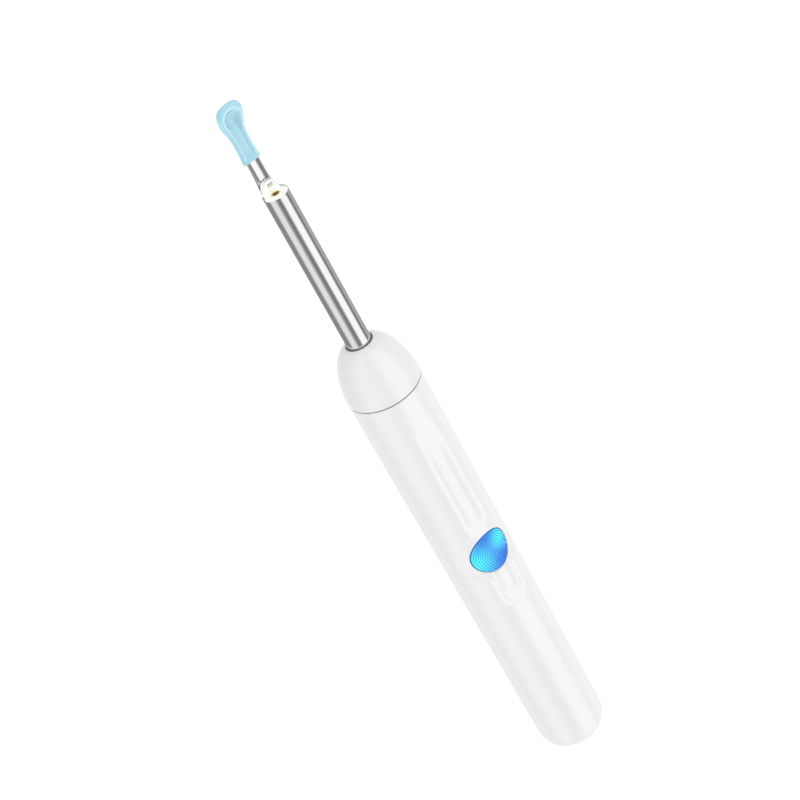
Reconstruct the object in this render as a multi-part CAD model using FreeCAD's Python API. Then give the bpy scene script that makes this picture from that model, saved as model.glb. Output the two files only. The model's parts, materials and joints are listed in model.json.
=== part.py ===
"""Camera ear wax cleaner: a pen-shaped handle with a steel camera probe and a pull-off silicone ear spoon.

Frame: millimetres, origin at the centre of the tail end, +Z along the pen towards the spoon,
-Y the front, where the button is.  Every function named after a sub-part returns that sub-part.
"""
import FreeCAD, Part
import math
import os
from FreeCAD import Vector as V

# ---- driving dimensions -------------------------------------------------------------------------
BODY_R = 6.5              # handle radius
BODY_WALL = 1.3           # handle wall
TAIL_ROUND = 3.25         # rounding of the tail end
TAIL_FLOOR = 1.8          # thickness of the tail end wall
SEAM_Z = 87.5             # middle of the seam between handle and nose
SEAM_GAP = 0.2            # height of the seam
NOSE_TOP_Z = 97.0         # where the probe leaves the nose
RIM_Z = 126.0             # camera face
TUBE_R = 2.1              # probe tube outside radius
TUBE_WALL = 0.25
SPOON_MOUTH_Z = 131.8     # lower end of the ear spoon's sleeve
SPOON_TIP_Z = 142.2
BUTTON_Z = 51.6
BUTTON_R = 3.95
BUTTON_GAP = 0.1          # clearance round the button
BUTTON_TRAVEL = 0.3
DISH_R = 5.6              # shallow dish round the button, seen from the front
DISH_TAIL_R = 2.6         # the dish runs on downwards as a channel this wide each way
DISH_DEPTH = 0.25
BUTTON_PROUD = 0.2        # how far the cap stands above the dish
DISH_LOW_Z = 39.2
GROOVE_LOW_Z = 41.2       # finger groove: one run below the button, one above it
GROOVE_RESTART_Z = 55.9
GROOVE_HIGH_Z = 83.0
GROOVE_DEPTH = 0.75
GROOVE_TOOL_R = 4.5       # radius of the cutter that makes the groove
BOARD_FRONT_Y = -1.25     # component side of the main board
BOARD_THICK = 0.8
PORT_W, PORT_H = 8.94, 3.26   # charging socket shell, outside
PORT_MOUTH_Z = 0.35

BORE_R = BODY_R - BODY_WALL
TUBE_IN_R = TUBE_R - TUBE_WALL
BOARD_BACK_Y = BOARD_FRONT_Y + BOARD_THICK
SHELL_TOP_Z = SEAM_Z - SEAM_GAP / 2
NOSE_LOW_Z = SEAM_Z + SEAM_GAP / 2
SPIGOT_R = BORE_R - 0.05
TUBE_LIP = 0.08               # the tube ends in a thin lip round the light guide's flange
TUBE_TOP_Z = RIM_Z - 0.15     # where the lip starts and the flange rests
UP = V(0, 0, 1)
BACK = V(0, 1, 0)


# ---- small helpers --------------------------------------------------------------------------------
def rod(radius, z0, z1, x=0.0, y=0.0):
    return Part.makeCylinder(radius, z1 - z0, V(x, y, z0), UP)


def rod_y(radius, y0, y1, x, z):
    """A cylinder along +Y."""
    return Part.makeCylinder(radius, y1 - y0, V(x, y0, z), BACK)


def ring(r_in, r_out, z0, z1):
    return rod(r_out, z0, z1).cut(rod(r_in, z0, z1))


def block(x0, x1, y0, y1, z0, z1):
    return Part.makeBox(x1 - x0, y1 - y0, z1 - z0, V(x0, y0, z0))


def centred(width, y0, y1, z_mid, height, x=0.0):
    """A block centred on x and z_mid."""
    return block(x - width / 2, x + width / 2, y0, y1, z_mid - height / 2, z_mid + height / 2)


def turned(edges):
    """Revolves a closed outline in the XZ plane about Z."""
    return Part.Face(Part.Wire(edges)).revolve(V(0, 0, 0), UP, 360)


def turned_sector(edges, start_deg, sweep_deg):
    """The same, but only from start_deg through sweep_deg."""
    face = Part.Face(Part.Wire(edges))
    face.rotate(V(0, 0, 0), UP, start_deg)
    return face.revolve(V(0, 0, 0), UP, sweep_deg)


def lines(points):
    """Straight edges in the XZ plane through (radius, z) points."""
    pts = [V(r, 0, z) for r, z in points]
    return [Part.LineSegment(a, b).toShape() for a, b in zip(pts, pts[1:])]


def quarter(centre, radius, start_deg):
    """A quarter circle in the XZ plane, anticlockwise from start_deg."""
    pts = [V(centre[0] + radius * math.cos(math.radians(start_deg + a)), 0,
             centre[1] + radius * math.sin(math.radians(start_deg + a))) for a in (0, 45, 90)]
    return Part.Arc(*pts).toShape()


def obround(width, height, z0, z1):
    """A prism along Z with a round-ended slot for its section."""
    half = (width - height) / 2
    core = block(-half, half, -height / 2, height / 2, z0, z1)
    return core.fuse([rod(height / 2, z0, z1, -half), rod(height / 2, z0, z1, half)]).removeSplitter()


def smooth(shape, radius, keep):
    """Fillets the edges that keep() accepts."""
    return shape.makeFillet(radius, [e for e in shape.Edges if keep(e)])


def along(direction):
    """A test for straight edges that run along a direction."""
    def test(edge):
        ends = edge.Vertexes
        if len(ends) < 2 or edge.Curve.TypeId != "Part::GeomLine":
            return False
        run = ends[1].Point.sub(ends[0].Point)
        return run.Length > 1e-6 and abs(run.normalize().dot(direction)) > 0.999
    return test


def group(shapes):
    return Part.makeCompound(shapes)


# ---- handle ---------------------------------------------------------------------------------------
CAVITY_CORNER = 0.8
RIB_IN_X = 4.45
RIB_Z = (9.0, 80.0)
PLATE_Y = (BOARD_BACK_Y, BOARD_BACK_Y + 0.6)      # the chassis plate behind the board
PORT_CLEAR = 0.12


FRONT_PANEL_HALF_DEG = 67     # the front of the handle is a set of faces of its own, which
FRONT_PANEL_Z = (43.8, 80.4)  # keeps the grip's other faces plain cylinders
RIB_THICK = 0.55


def handle_cavity():
    corner = (BORE_R - CAVITY_CORNER, TAIL_FLOOR + CAVITY_CORNER)
    edges = lines([(0, TAIL_FLOOR), (corner[0], TAIL_FLOOR)])
    edges.append(quarter(corner, CAVITY_CORNER, -90))
    edges += lines([(BORE_R, corner[1]), (BORE_R, SHELL_TOP_Z), (0, SHELL_TOP_Z), (0, TAIL_FLOOR)])
    return turned(edges)


def finger_groove(low, high):
    """A capsule beside the handle; what it cuts is a long shallow groove with rounded ends."""
    centre_y = -(BODY_R - GROOVE_DEPTH + GROOVE_TOOL_R)
    reach = math.sqrt(GROOVE_TOOL_R ** 2 - (-centre_y - BODY_R) ** 2)
    low, high = low + reach, high - reach
    ends = [Part.makeSphere(GROOVE_TOOL_R, V(0, centre_y, z)) for z in (low, high)]
    return rod(GROOVE_TOOL_R, low, high, 0, centre_y).fuse(ends)


def button_dish():
    """A keyhole seen from the front: a circle round the button with a channel below it."""
    tail_z = DISH_LOW_Z + DISH_TAIL_R
    channel = block(-DISH_TAIL_R, DISH_TAIL_R, -BODY_R - 1, -1, tail_z, BUTTON_Z)
    keyhole = channel.fuse([rod_y(DISH_R, -BODY_R - 1, -1, 0, BUTTON_Z),
                            rod_y(DISH_TAIL_R, -BODY_R - 1, -1, 0, tail_z)])
    return keyhole.common(ring(BODY_R - DISH_DEPTH, BODY_R + 1, DISH_LOW_Z - 1, BUTTON_Z + DISH_R + 1))


def body_shell():
    outline = lines([(0, 0), (BODY_R - TAIL_ROUND, 0)])
    outline.append(quarter((BODY_R - TAIL_ROUND, TAIL_ROUND), TAIL_ROUND, -90))
    outline += lines([(BODY_R, TAIL_ROUND), (BODY_R, FRONT_PANEL_Z[0]), (BODY_R, FRONT_PANEL_Z[1]),
                      (BODY_R, SHELL_TOP_Z), (0, SHELL_TOP_Z), (0, 0)])
    half = FRONT_PANEL_HALF_DEG
    front = turned_sector(outline, 270 - half, 2 * half)
    back = turned_sector(outline, 270 + half, 360 - 2 * half)
    shell = front.fuse(back).cut(handle_cavity())
    ribs = []
    for side in (-1, 1):
        for y0, y1 in ((BOARD_FRONT_Y - 0.1 - RIB_THICK, BOARD_FRONT_Y - 0.1),
                       (PLATE_Y[1] + 0.1, PLATE_Y[1] + 0.1 + RIB_THICK)):
            x0, x1 = sorted((side * RIB_IN_X, side * (BORE_R + 0.3)))
            ribs.append(block(x0, x1, y0, y1, *RIB_Z))
    shell = shell.fuse(ribs)
    port = obround(PORT_W + 2 * PORT_CLEAR, PORT_H + 2 * PORT_CLEAR, -1, TAIL_FLOOR + 1)
    hole = rod_y(BUTTON_R + BUTTON_GAP, -BODY_R - 1, -2.0, 0, BUTTON_Z)
    grooves = [finger_groove(GROOVE_LOW_Z, BUTTON_Z), finger_groove(GROOVE_RESTART_Z, GROOVE_HIGH_Z)]
    return shell.cut(grooves + [button_dish(), port, hole])


# ---- nose and probe mount -------------------------------------------------------------------------
SPIGOT_LOW_Z = 83.6
SPIGOT_IN_R = 4.0
O_RING_Z = (85.4, 86.5)
O_RING_FLOOR_R = 4.55
NUT_Z = (88.0, 90.4)
NUT_R = 3.6
COLLAR_Z = (90.5, 92.4)
COLLAR_R = 2.95
SEAL_Z = (95.6, NOSE_TOP_Z - 0.08)
SEAL_R = 2.38
TUBE_LOW_Z = 87.2
NOSE_CENTRE_R = 1.75      # the dome's ellipse is centred this far off the axis
BORE_CLEAR = 0.05


def nose_outline():
    """The dome: an ellipse arc from the seam to the probe's exit."""
    half_w = BODY_R - NOSE_CENTRE_R
    exit_share = (SEAL_R - NOSE_CENTRE_R) / half_w
    half_h = (NOSE_TOP_Z - NOSE_LOW_Z) / math.sqrt(1 - exit_share ** 2)
    ellipse = Part.Ellipse(V(NOSE_CENTRE_R, 0, NOSE_LOW_Z + half_h), V(NOSE_CENTRE_R + half_w, 0, NOSE_LOW_Z),
                           V(NOSE_CENTRE_R, 0, NOSE_LOW_Z))
    ends = (V(BODY_R, 0, NOSE_LOW_Z), V(SEAL_R, 0, NOSE_TOP_Z))
    first, last = sorted(ellipse.parameter(p) for p in ends)
    return Part.ArcOfEllipse(ellipse, first, last).toShape()


def nose_cone():
    bore = TUBE_R + BORE_CLEAR
    outer = lines([(SPIGOT_IN_R, SPIGOT_LOW_Z), (SPIGOT_R, SPIGOT_LOW_Z), (SPIGOT_R, O_RING_Z[0]),
                   (O_RING_FLOOR_R, O_RING_Z[0]), (O_RING_FLOOR_R, O_RING_Z[1]), (SPIGOT_R, O_RING_Z[1]),
                   (SPIGOT_R, NOSE_LOW_Z), (BODY_R, NOSE_LOW_Z)])
    inner = lines([(SEAL_R, NOSE_TOP_Z), (SEAL_R, SEAL_Z[0]), (bore, SEAL_Z[0]),
                   (bore, COLLAR_Z[1] + 0.05), (COLLAR_R + BORE_CLEAR, COLLAR_Z[1] + 0.05),
                   (COLLAR_R + BORE_CLEAR, NUT_Z[1] + 0.05), (NUT_R + BORE_CLEAR, NUT_Z[1] + 0.05),
                   (NUT_R + BORE_CLEAR, NUT_Z[0] - 0.1), (SPIGOT_IN_R, NUT_Z[0] - 0.1),
                   (SPIGOT_IN_R, SPIGOT_LOW_Z)])
    return turned(outer + [nose_outline()] + inner)


def seam_gasket():
    return ring(BORE_R, BODY_R - 0.12, SHELL_TOP_Z, NOSE_LOW_Z)


def nose_o_ring():
    squeezed = ring(O_RING_FLOOR_R, BORE_R, O_RING_Z[0] + 0.05, O_RING_Z[1] - 0.05)
    return squeezed.makeFillet(0.25, [e for e in squeezed.Edges if e.Curve.TypeId == "Part::GeomCircle"])


def tube_collar():
    return ring(TUBE_R, COLLAR_R, *COLLAR_Z)


def retaining_nut():
    slots = [block(-NUT_R - 1, NUT_R + 1, -0.45, 0.45, NUT_Z[0] - 1, NUT_Z[0] + 0.7)]
    return ring(TUBE_R + BORE_CLEAR, NUT_R, *NUT_Z).cut(slots)


def tube_seal():
    return ring(TUBE_R, SEAL_R, *SEAL_Z)


# ---- probe tube with its tongue --------------------------------------------------------------------
TONGUE_HALF_W = 1.09      # half width of the tongue that carries the spoon
TONGUE_BASE_HALF_W = 1.70
TONGUE_FLARE_H = 3.3      # height over which the tongue narrows
TONGUE_TOP_Z = 136.8


def tongue_window():
    """Front view of the tongue, as a prism along Y: straight sides that flare into the tube."""
    top, corner = TONGUE_TOP_Z, 0.5
    flare_z = RIM_Z + TONGUE_FLARE_H

    def at(x, z):
        return V(x, 0, z)

    def flare_x(z):
        spread = TONGUE_BASE_HALF_W - TONGUE_HALF_W
        bend = (TONGUE_FLARE_H ** 2 + spread ** 2) / (2 * spread)
        return TONGUE_HALF_W + bend - math.sqrt(bend ** 2 - (flare_z - z) ** 2)

    mid = RIM_Z + TONGUE_FLARE_H / 2
    low, w = TUBE_TOP_Z - 0.5, TONGUE_HALF_W
    nib = corner * (1 - math.sqrt(0.5))
    edges = [Part.LineSegment(at(-TUBE_R - 1, low), at(TUBE_R + 1, low)).toShape(),
             Part.LineSegment(at(TUBE_R + 1, low), at(TUBE_R + 1, TUBE_TOP_Z)).toShape(),
             Part.LineSegment(at(TUBE_R + 1, TUBE_TOP_Z), at(flare_x(RIM_Z), TUBE_TOP_Z)).toShape(),
             Part.LineSegment(at(flare_x(RIM_Z), TUBE_TOP_Z), at(flare_x(RIM_Z), RIM_Z)).toShape(),
             Part.Arc(at(flare_x(RIM_Z), RIM_Z), at(flare_x(mid), mid), at(w, flare_z)).toShape(),
             Part.LineSegment(at(w, flare_z), at(w, top - corner)).toShape(),
             Part.Arc(at(w, top - corner), at(w - nib, top - nib), at(w - corner, top)).toShape(),
             Part.LineSegment(at(w - corner, top), at(corner - w, top)).toShape(),
             Part.Arc(at(corner - w, top), at(nib - w, top - nib), at(-w, top - corner)).toShape(),
             Part.LineSegment(at(-w, top - corner), at(-w, flare_z)).toShape(),
             Part.Arc(at(-w, flare_z), at(-flare_x(mid), mid), at(-flare_x(RIM_Z), RIM_Z)).toShape(),
             Part.LineSegment(at(-flare_x(RIM_Z), RIM_Z), at(-flare_x(RIM_Z), TUBE_TOP_Z)).toShape(),
             Part.LineSegment(at(-flare_x(RIM_Z), TUBE_TOP_Z), at(-TUBE_R - 1, TUBE_TOP_Z)).toShape(),
             Part.LineSegment(at(-TUBE_R - 1, TUBE_TOP_Z), at(-TUBE_R - 1, low)).toShape()]
    return Part.Face(Part.Wire(edges)).extrude(V(0, TUBE_R + 1, 0))


def probe_tube():
    lip = ring(TUBE_R - TUBE_LIP, TUBE_R, TUBE_TOP_Z, RIM_Z)
    straight = ring(TUBE_IN_R, TUBE_R, TUBE_LOW_Z, TUBE_TOP_Z).fuse(lip)
    tongue = ring(TUBE_IN_R, TUBE_R, TUBE_TOP_Z - 0.2, TONGUE_TOP_Z + 1).common(tongue_window())
    return straight.fuse(tongue).removeSplitter()


# ---- camera head ---------------------------------------------------------------------------------
BARREL_R = 0.8
BARREL_LOW_Z = 123.3
BARREL_PROUD = 0.06
LENS_R = 0.55
LENS_SEAT = 0.3           # depth of the lens's seat in the barrel
LENS_PROUD = 0.03
LENS_DOME_R = 1.1
STOP_R = 0.3              # light passage behind the lens
GUIDE_LOW_Z = 124.4
GUIDE_CLEAR = 0.02
RAMP_Y = (0.88, 1.12)     # the boss's sloping front, from the face to its top
BOSS_TOP_Z = 127.8
RAMP_TOP_Z = 127.6
BOSS_CHAMFER = 0.15
BOSS_BACK_Y = 2.0
BOSS_ARCH_R = 1.9
BOSS_X = 0.35             # the lamp boss sits a little to one side of the tongue
LED_SIZE = (0.95, 0.58, 0.22)
LED_SHARE = 0.74          # how far up the slope the lamp is
SENSOR_BOARD_R = 1.7
SENSOR_BOARD_Z = (122.3, 122.7)
SENSOR_SIZE = (1.7, 0.6)
LED_BOARD_R = 1.75
LED_BOARD_Z = (123.5, 123.75)
PROBE_LED_X = (1.05, 1.6)
PROBE_LED_HALF_W = 0.25
PROBE_LED_TOP_Z = 124.1
FLEX_Y = (-1.5, -1.38)
FLEX_HALF_W = 0.8
FLEX_LOW_Z = 80.5
CONNECTOR_W, CONNECTOR_H, CONNECTOR_THICK = 3.4, 2.8, 0.9
CONNECTOR_Z = 81.0


def on_ramp(width, height, front, back):
    """A block whose outer side stands `front` proud of the boss's slope and that is `back` deep."""
    run, rise = RAMP_Y[1] - RAMP_Y[0], RAMP_TOP_Z - RIM_Z
    lamp = block(-width / 2, width / 2, -front, back, -height / 2, height / 2)
    lamp.rotate(V(0, 0, 0), V(1, 0, 0), -math.degrees(math.atan2(run, rise)))
    lamp.translate(V(BOSS_X, RAMP_Y[0] + LED_SHARE * run, RIM_Z + LED_SHARE * rise))
    return lamp


def ramp_led():
    width, height, thick = LED_SIZE
    return on_ramp(width, height, 0, thick)


def lamp_boss():
    """The boss at the foot of the tongue: a ramp under a round arch, inside the tube's bore."""
    side = [V(-2, y, z) for y, z in ((RAMP_Y[0], RIM_Z), (RAMP_Y[1], RAMP_TOP_Z),
                                     (RAMP_Y[1] + BOSS_CHAMFER, BOSS_TOP_Z), (BOSS_BACK_Y, BOSS_TOP_Z),
                                     (BOSS_BACK_Y, TUBE_TOP_Z), (RAMP_Y[0], TUBE_TOP_Z))]
    ramp = Part.Face(Part.makePolygon(side + side[:1])).extrude(V(4, 0, 0))
    arch = rod_y(BOSS_ARCH_R, -1, 3, BOSS_X, BOSS_TOP_Z - BOSS_ARCH_R)
    return ramp.common(arch).common(rod(TUBE_IN_R - GUIDE_CLEAR, TUBE_TOP_Z, BOSS_TOP_Z))


def light_guide():
    plug = rod(TUBE_IN_R - GUIDE_CLEAR, GUIDE_LOW_Z, TUBE_TOP_Z)
    flange = rod(TUBE_R - TUBE_LIP - 0.01, TUBE_TOP_Z, RIM_Z)
    bore = rod(BARREL_R + 0.01, GUIDE_LOW_Z - 1, RIM_Z + 0.5)
    width, height, thick = (size + GUIDE_CLEAR for size in LED_SIZE)
    pocket = on_ramp(width, height, 0.2, thick)
    return plug.fuse([flange, lamp_boss()]).cut([bore, pocket, probe_tube()]).removeSplitter()


def lens_barrel():
    seat = rod(LENS_R, RIM_Z - LENS_SEAT, RIM_Z + 1)
    return rod(BARREL_R, BARREL_LOW_Z, RIM_Z + BARREL_PROUD).cut([seat, rod(STOP_R, BARREL_LOW_Z - 1, RIM_Z)])


def camera_lens():
    dome = Part.makeSphere(LENS_DOME_R, V(0, 0, RIM_Z + LENS_PROUD - LENS_DOME_R))
    return rod(LENS_R, RIM_Z - LENS_SEAT, RIM_Z + 1).common(dome)


def image_sensor():
    width, height = SENSOR_SIZE
    return centred(width, -width / 2, width / 2, SENSOR_BOARD_Z[1] + height / 2, height)


def sensor_board():
    return rod(SENSOR_BOARD_R, *SENSOR_BOARD_Z)


def led_board():
    return ring(BARREL_R + 0.05, LED_BOARD_R, *LED_BOARD_Z)


def probe_leds():
    chips = []
    for turn in (45, 135, 225, 315):
        chip = block(*PROBE_LED_X, -PROBE_LED_HALF_W, PROBE_LED_HALF_W, LED_BOARD_Z[1], PROBE_LED_TOP_Z)
        chip.rotate(V(0, 0, 0), UP, turn)
        chips.append(chip)
    return group(chips)


def camera_flex():
    return block(-FLEX_HALF_W, FLEX_HALF_W, *FLEX_Y, FLEX_LOW_Z, SENSOR_BOARD_Z[0])


def flex_connector():
    half = FLEX_HALF_W + 0.02
    slot = block(-half, half, FLEX_Y[0] - 0.02, FLEX_Y[1] + 0.02, FLEX_LOW_Z - 0.1, CONNECTOR_Z + 2)
    body = centred(CONNECTOR_W, BOARD_FRONT_Y - CONNECTOR_THICK, BOARD_FRONT_Y, CONNECTOR_Z, CONNECTOR_H)
    return body.cut(slot)


# ---- board, chassis and battery --------------------------------------------------------------------
BOARD_HALF_W = 4.8
BOARD_Z = (3.4, 83.0)
NOTCH_TOP_Z = 7.9
SCREW_SPOTS = [(x, z) for z in (10.8, 76.5) for x in (-3.4, 3.4)]
SCREW_R = 0.5
BATTERY_Z = (24.0, 60.0)
BATTERY_Y = (PLATE_Y[1] + 0.1, PLATE_Y[1] + 3.8)
BATTERY_HALF_W = 3.5
BATTERY_ROUND = 0.9
TAPE_HALF_W = 2.8
TAPE_Z = (27.0, 57.0)
CELL_BOARD_HALF_W = 3.0
CELL_BOARD_Y = (1.6, 2.4)
CELL_BOARD_H = 2.6
CHASSIS_Z = (9.0, 83.2)
CRADLE_X, CRADLE_HALF_W = 4.05, 0.4      # rails that keep the cell in place
CRADLE_Z = (22.5, 61.5)
SCREW_BOSS_R = 1.05
SPINE_Z = 71.0
LEAD_WINDOW_HALF_W = 2.6
LEAD_WINDOW_Z = (63.2, 69.2)
SCREW_HEAD_R, SCREW_HEAD_H = 0.95, 0.5
CROSS_W, CROSS_SPAN, CROSS_DEPTH = 0.22, 1.1, 0.25
LEAD_R = 0.35
LEAD_X = (-1.0, 1.0)
LEAD_Z = 66.6             # where the leads meet the back of the board


def main_board():
    board = block(-BOARD_HALF_W, BOARD_HALF_W, BOARD_FRONT_Y, BOARD_BACK_Y, *BOARD_Z)
    notch_half = PORT_W / 2 + 0.03
    notch = block(-notch_half, notch_half, -3, 3, 0, NOTCH_TOP_Z)
    holes = [rod_y(SCREW_R + 0.1, -3, 3, x, z) for x, z in SCREW_SPOTS]
    return board.cut([notch] + holes)


def chassis():
    plate = block(-BOARD_HALF_W, BOARD_HALF_W, *PLATE_Y, *CHASSIS_Z)
    top = PLATE_Y[1]
    extras = [block(s * CRADLE_X - CRADLE_HALF_W, s * CRADLE_X + CRADLE_HALF_W, top, top + 1.1, *CRADLE_Z)
              for s in (-1, 1)]
    extras.append(block(-CRADLE_X, CRADLE_X, top, top + 1.4, CRADLE_Z[0], CRADLE_Z[0] + 1.0))
    extras += [rod_y(SCREW_BOSS_R, top, top + 1.3, x, z) for x, z in SCREW_SPOTS]
    extras.append(block(-0.4, 0.4, top, top + 2.2, SPINE_Z, CHASSIS_Z[1]))
    window = block(-LEAD_WINDOW_HALF_W, LEAD_WINDOW_HALF_W, -1, 1, *LEAD_WINDOW_Z)
    pilots = [rod_y(SCREW_R, -3, 3, x, z) for x, z in SCREW_SPOTS]
    return plate.fuse(extras).cut([window] + pilots).removeSplitter()


def board_screws():
    screws = []
    face = BOARD_FRONT_Y - SCREW_HEAD_H
    for x, z in SCREW_SPOTS:
        head = rod_y(SCREW_HEAD_R, face, BOARD_FRONT_Y, x, z)
        shank = rod_y(SCREW_R, BOARD_FRONT_Y, PLATE_Y[1] + 1.1, x, z)
        cross = [centred(CROSS_SPAN, face - 0.1, face + CROSS_DEPTH, z, CROSS_W, x),
                 centred(CROSS_W, face - 0.1, face + CROSS_DEPTH, z, CROSS_SPAN, x)]
        screws.append(head.fuse(shank).cut(cross).removeSplitter())
    return group(screws)


def battery():
    cell = block(-BATTERY_HALF_W, BATTERY_HALF_W, *BATTERY_Y, *BATTERY_Z)
    return smooth(cell, BATTERY_ROUND, along(UP))


def battery_tape():
    return block(-TAPE_HALF_W, TAPE_HALF_W, PLATE_Y[1], BATTERY_Y[0], *TAPE_Z)


def protection_board():
    top = BATTERY_Z[1] + CELL_BOARD_H
    return block(-CELL_BOARD_HALF_W, CELL_BOARD_HALF_W, *CELL_BOARD_Y, BATTERY_Z[1], top)


def battery_lead(x):
    """One lead: out of the protection board, then down on to the back of the main board."""
    y_out, bend = sum(CELL_BOARD_Y) / 2, 1.6
    start_z = BATTERY_Z[1] + CELL_BOARD_H
    pts = [V(x, y_out, start_z), V(x, y_out, LEAD_Z - bend),
           V(x, y_out - bend * (1 - math.sqrt(0.5)), LEAD_Z - bend * (1 - math.sqrt(0.5))),
           V(x, y_out - bend, LEAD_Z), V(x, BOARD_BACK_Y + 0.1, LEAD_Z)]
    path = Part.Wire([Part.LineSegment(pts[0], pts[1]).toShape(),
                      Part.Arc(pts[1], pts[2], pts[3]).toShape(),
                      Part.LineSegment(pts[3], pts[4]).toShape()])
    section = Part.Wire(Part.Circle(pts[0], UP, LEAD_R).toShape())
    return path.makePipeShell([section], True, False)


def battery_pads():
    return group([rod_y(0.6, BOARD_BACK_Y, BOARD_BACK_Y + 0.1, x, LEAD_Z) for x in LEAD_X])


# ---- components on the board ------------------------------------------------------------------------
def on_board(width, height, thick, z_mid, x=0.0):
    """A component lying on the front of the board."""
    return centred(width, BOARD_FRONT_Y - thick, BOARD_FRONT_Y, z_mid, height, x)


CAN_W, CAN_H, CAN_THICK, CAN_WALL = 7.2, 14.5, 1.8, 0.15
CAN_Z = 21.0
WIFI_Z, CRYSTAL_Z, CHARGER_Z, FLASH_Z = 18.0, 24.5, 10.8, 32.0
COIL_Z, MOTION_Z, ANTENNA_Z = 38.6, 62.0, 72.5
COIL_X = 2.2
STATUS_LED_X = 3.4
CAPACITOR_ROWS = (29.0, 35.4, 44.0, 46.0, 58.0, 66.0, 68.0)
CAPACITOR_COLUMNS = (-3.9, -2.4, 2.4, 3.9)


def rf_shield():
    can = smooth(on_board(CAN_W, CAN_H, CAN_THICK, CAN_Z), 0.3, along(BACK))
    inside = on_board(CAN_W - 2 * CAN_WALL, CAN_H - 2 * CAN_WALL, CAN_THICK - CAN_WALL, CAN_Z)
    return can.cut(inside)


def wifi_chip():
    return on_board(5.0, 5.0, 0.85, WIFI_Z)


def crystal():
    return on_board(2.5, 2.0, 0.6, CRYSTAL_Z)


def charger_chip():
    return on_board(2.6, 2.6, 0.8, CHARGER_Z)


def flash_chip():
    return on_board(5.0, 4.0, 0.8, FLASH_Z)


def power_inductors():
    return group([smooth(on_board(3.0, 3.0, 1.4, COIL_Z, x), 0.4, along(BACK)) for x in (-COIL_X, COIL_X)])


def motion_sensor():
    return on_board(3.0, 2.5, 0.85, MOTION_Z)


def chip_antenna():
    return on_board(6.4, 1.8, 1.0, ANTENNA_Z)


def status_leds():
    return group([on_board(0.9, 1.6, 0.6, BUTTON_Z, x) for x in (-STATUS_LED_X, STATUS_LED_X)])


def chip_capacitors():
    return group([on_board(1.0, 0.5, 0.5, z, x) for z in CAPACITOR_ROWS for x in CAPACITOR_COLUMNS])


# ---- switch and button --------------------------------------------------------------------------------
SWITCH_W = 4.5
SWITCH_H = 1.7
SWITCH_FLOOR = 0.3
PLUNGER_R = 1.0
PLUNGER_TOP_Y = BOARD_FRONT_Y - SWITCH_H - 0.6
STEM_R = 1.2
BUTTON_TOP_R = BODY_R - DISH_DEPTH + BUTTON_PROUD
CAP_IN_R = 5.05
FLANGE_IN_R = 4.65
FLANGE_R = 4.6


def tact_switch():
    base = smooth(on_board(SWITCH_W, SWITCH_W, SWITCH_H, BUTTON_Z), 0.4, along(BACK))
    well_top = BOARD_FRONT_Y - SWITCH_H - 1
    return base.cut(rod_y(PLUNGER_R + 0.03, well_top, BOARD_FRONT_Y - SWITCH_FLOOR, 0, BUTTON_Z))


def switch_plunger():
    foot_y = BOARD_FRONT_Y - SWITCH_FLOOR - BUTTON_TRAVEL - 0.05
    return rod_y(PLUNGER_R, PLUNGER_TOP_Y, foot_y, 0, BUTTON_Z)


def button_cap():
    z0, z1 = BUTTON_Z - 6, BUTTON_Z + 6
    cap = rod_y(BUTTON_R, -BODY_R - 1, -1.5, 0, BUTTON_Z).common(ring(CAP_IN_R, BUTTON_TOP_R, z0, z1))
    flange = rod_y(FLANGE_R, -BODY_R - 1, -2.2, 0, BUTTON_Z).common(ring(FLANGE_IN_R, CAP_IN_R, z0, z1))
    stem = rod_y(STEM_R, -FLANGE_IN_R - 0.2, PLUNGER_TOP_Y - 0.02, 0, BUTTON_Z)
    return cap.fuse([flange, stem]).removeSplitter()


# ---- charging socket ------------------------------------------------------------------------------------
PORT_BACK_Z = 7.7
PORT_WALL = 0.3
PORT_CORE_Z = 5.6         # where the socket's solid back starts
BLADE_HALF_W, BLADE_HALF_H = 3.35, 0.35
BLADE_LOW_Z = 1.3
CONTACT_COUNT, CONTACT_PITCH = 12, 0.5
CONTACT_HALF_W, CONTACT_THICK = 0.12, 0.08
CONTACT_Z = (1.8, 5.5)
GASKET_RIM, GASKET_H = 0.45, 0.6


def usb_shell():
    inner = obround(PORT_W - 2 * PORT_WALL, PORT_H - 2 * PORT_WALL, PORT_MOUTH_Z - 1, PORT_BACK_Z + 1)
    return obround(PORT_W, PORT_H, PORT_MOUTH_Z, PORT_BACK_Z).cut(inner)


def usb_tongue():
    core = obround(PORT_W - 2 * PORT_WALL, PORT_H - 2 * PORT_WALL, PORT_CORE_Z, PORT_BACK_Z)
    blade = block(-BLADE_HALF_W, BLADE_HALF_W, -BLADE_HALF_H, BLADE_HALF_H, BLADE_LOW_Z, PORT_CORE_Z)
    return core.fuse(smooth(blade, 0.2, along(BACK))).removeSplitter()


def usb_contacts():
    pads = []
    low, high = BLADE_HALF_H, BLADE_HALF_H + CONTACT_THICK
    for n in range(CONTACT_COUNT):
        x = (n - (CONTACT_COUNT - 1) / 2) * CONTACT_PITCH
        for y0, y1 in ((-high, -low), (low, high)):
            pads.append(block(x - CONTACT_HALF_W, x + CONTACT_HALF_W, y0, y1, *CONTACT_Z))
    return group(pads)


def port_gasket():
    outer = obround(PORT_W + 2 * GASKET_RIM, PORT_H + 2 * GASKET_RIM, TAIL_FLOOR, TAIL_FLOOR + GASKET_H)
    return outer.cut(obround(PORT_W, PORT_H, 0, 5)).common(handle_cavity())


# ---- ear spoon --------------------------------------------------------------------------------------------
SLEEVE_Y = 1.75           # the sleeve's centre line, behind the pen's axis
SOCKET_CLEAR = 0.03
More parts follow.
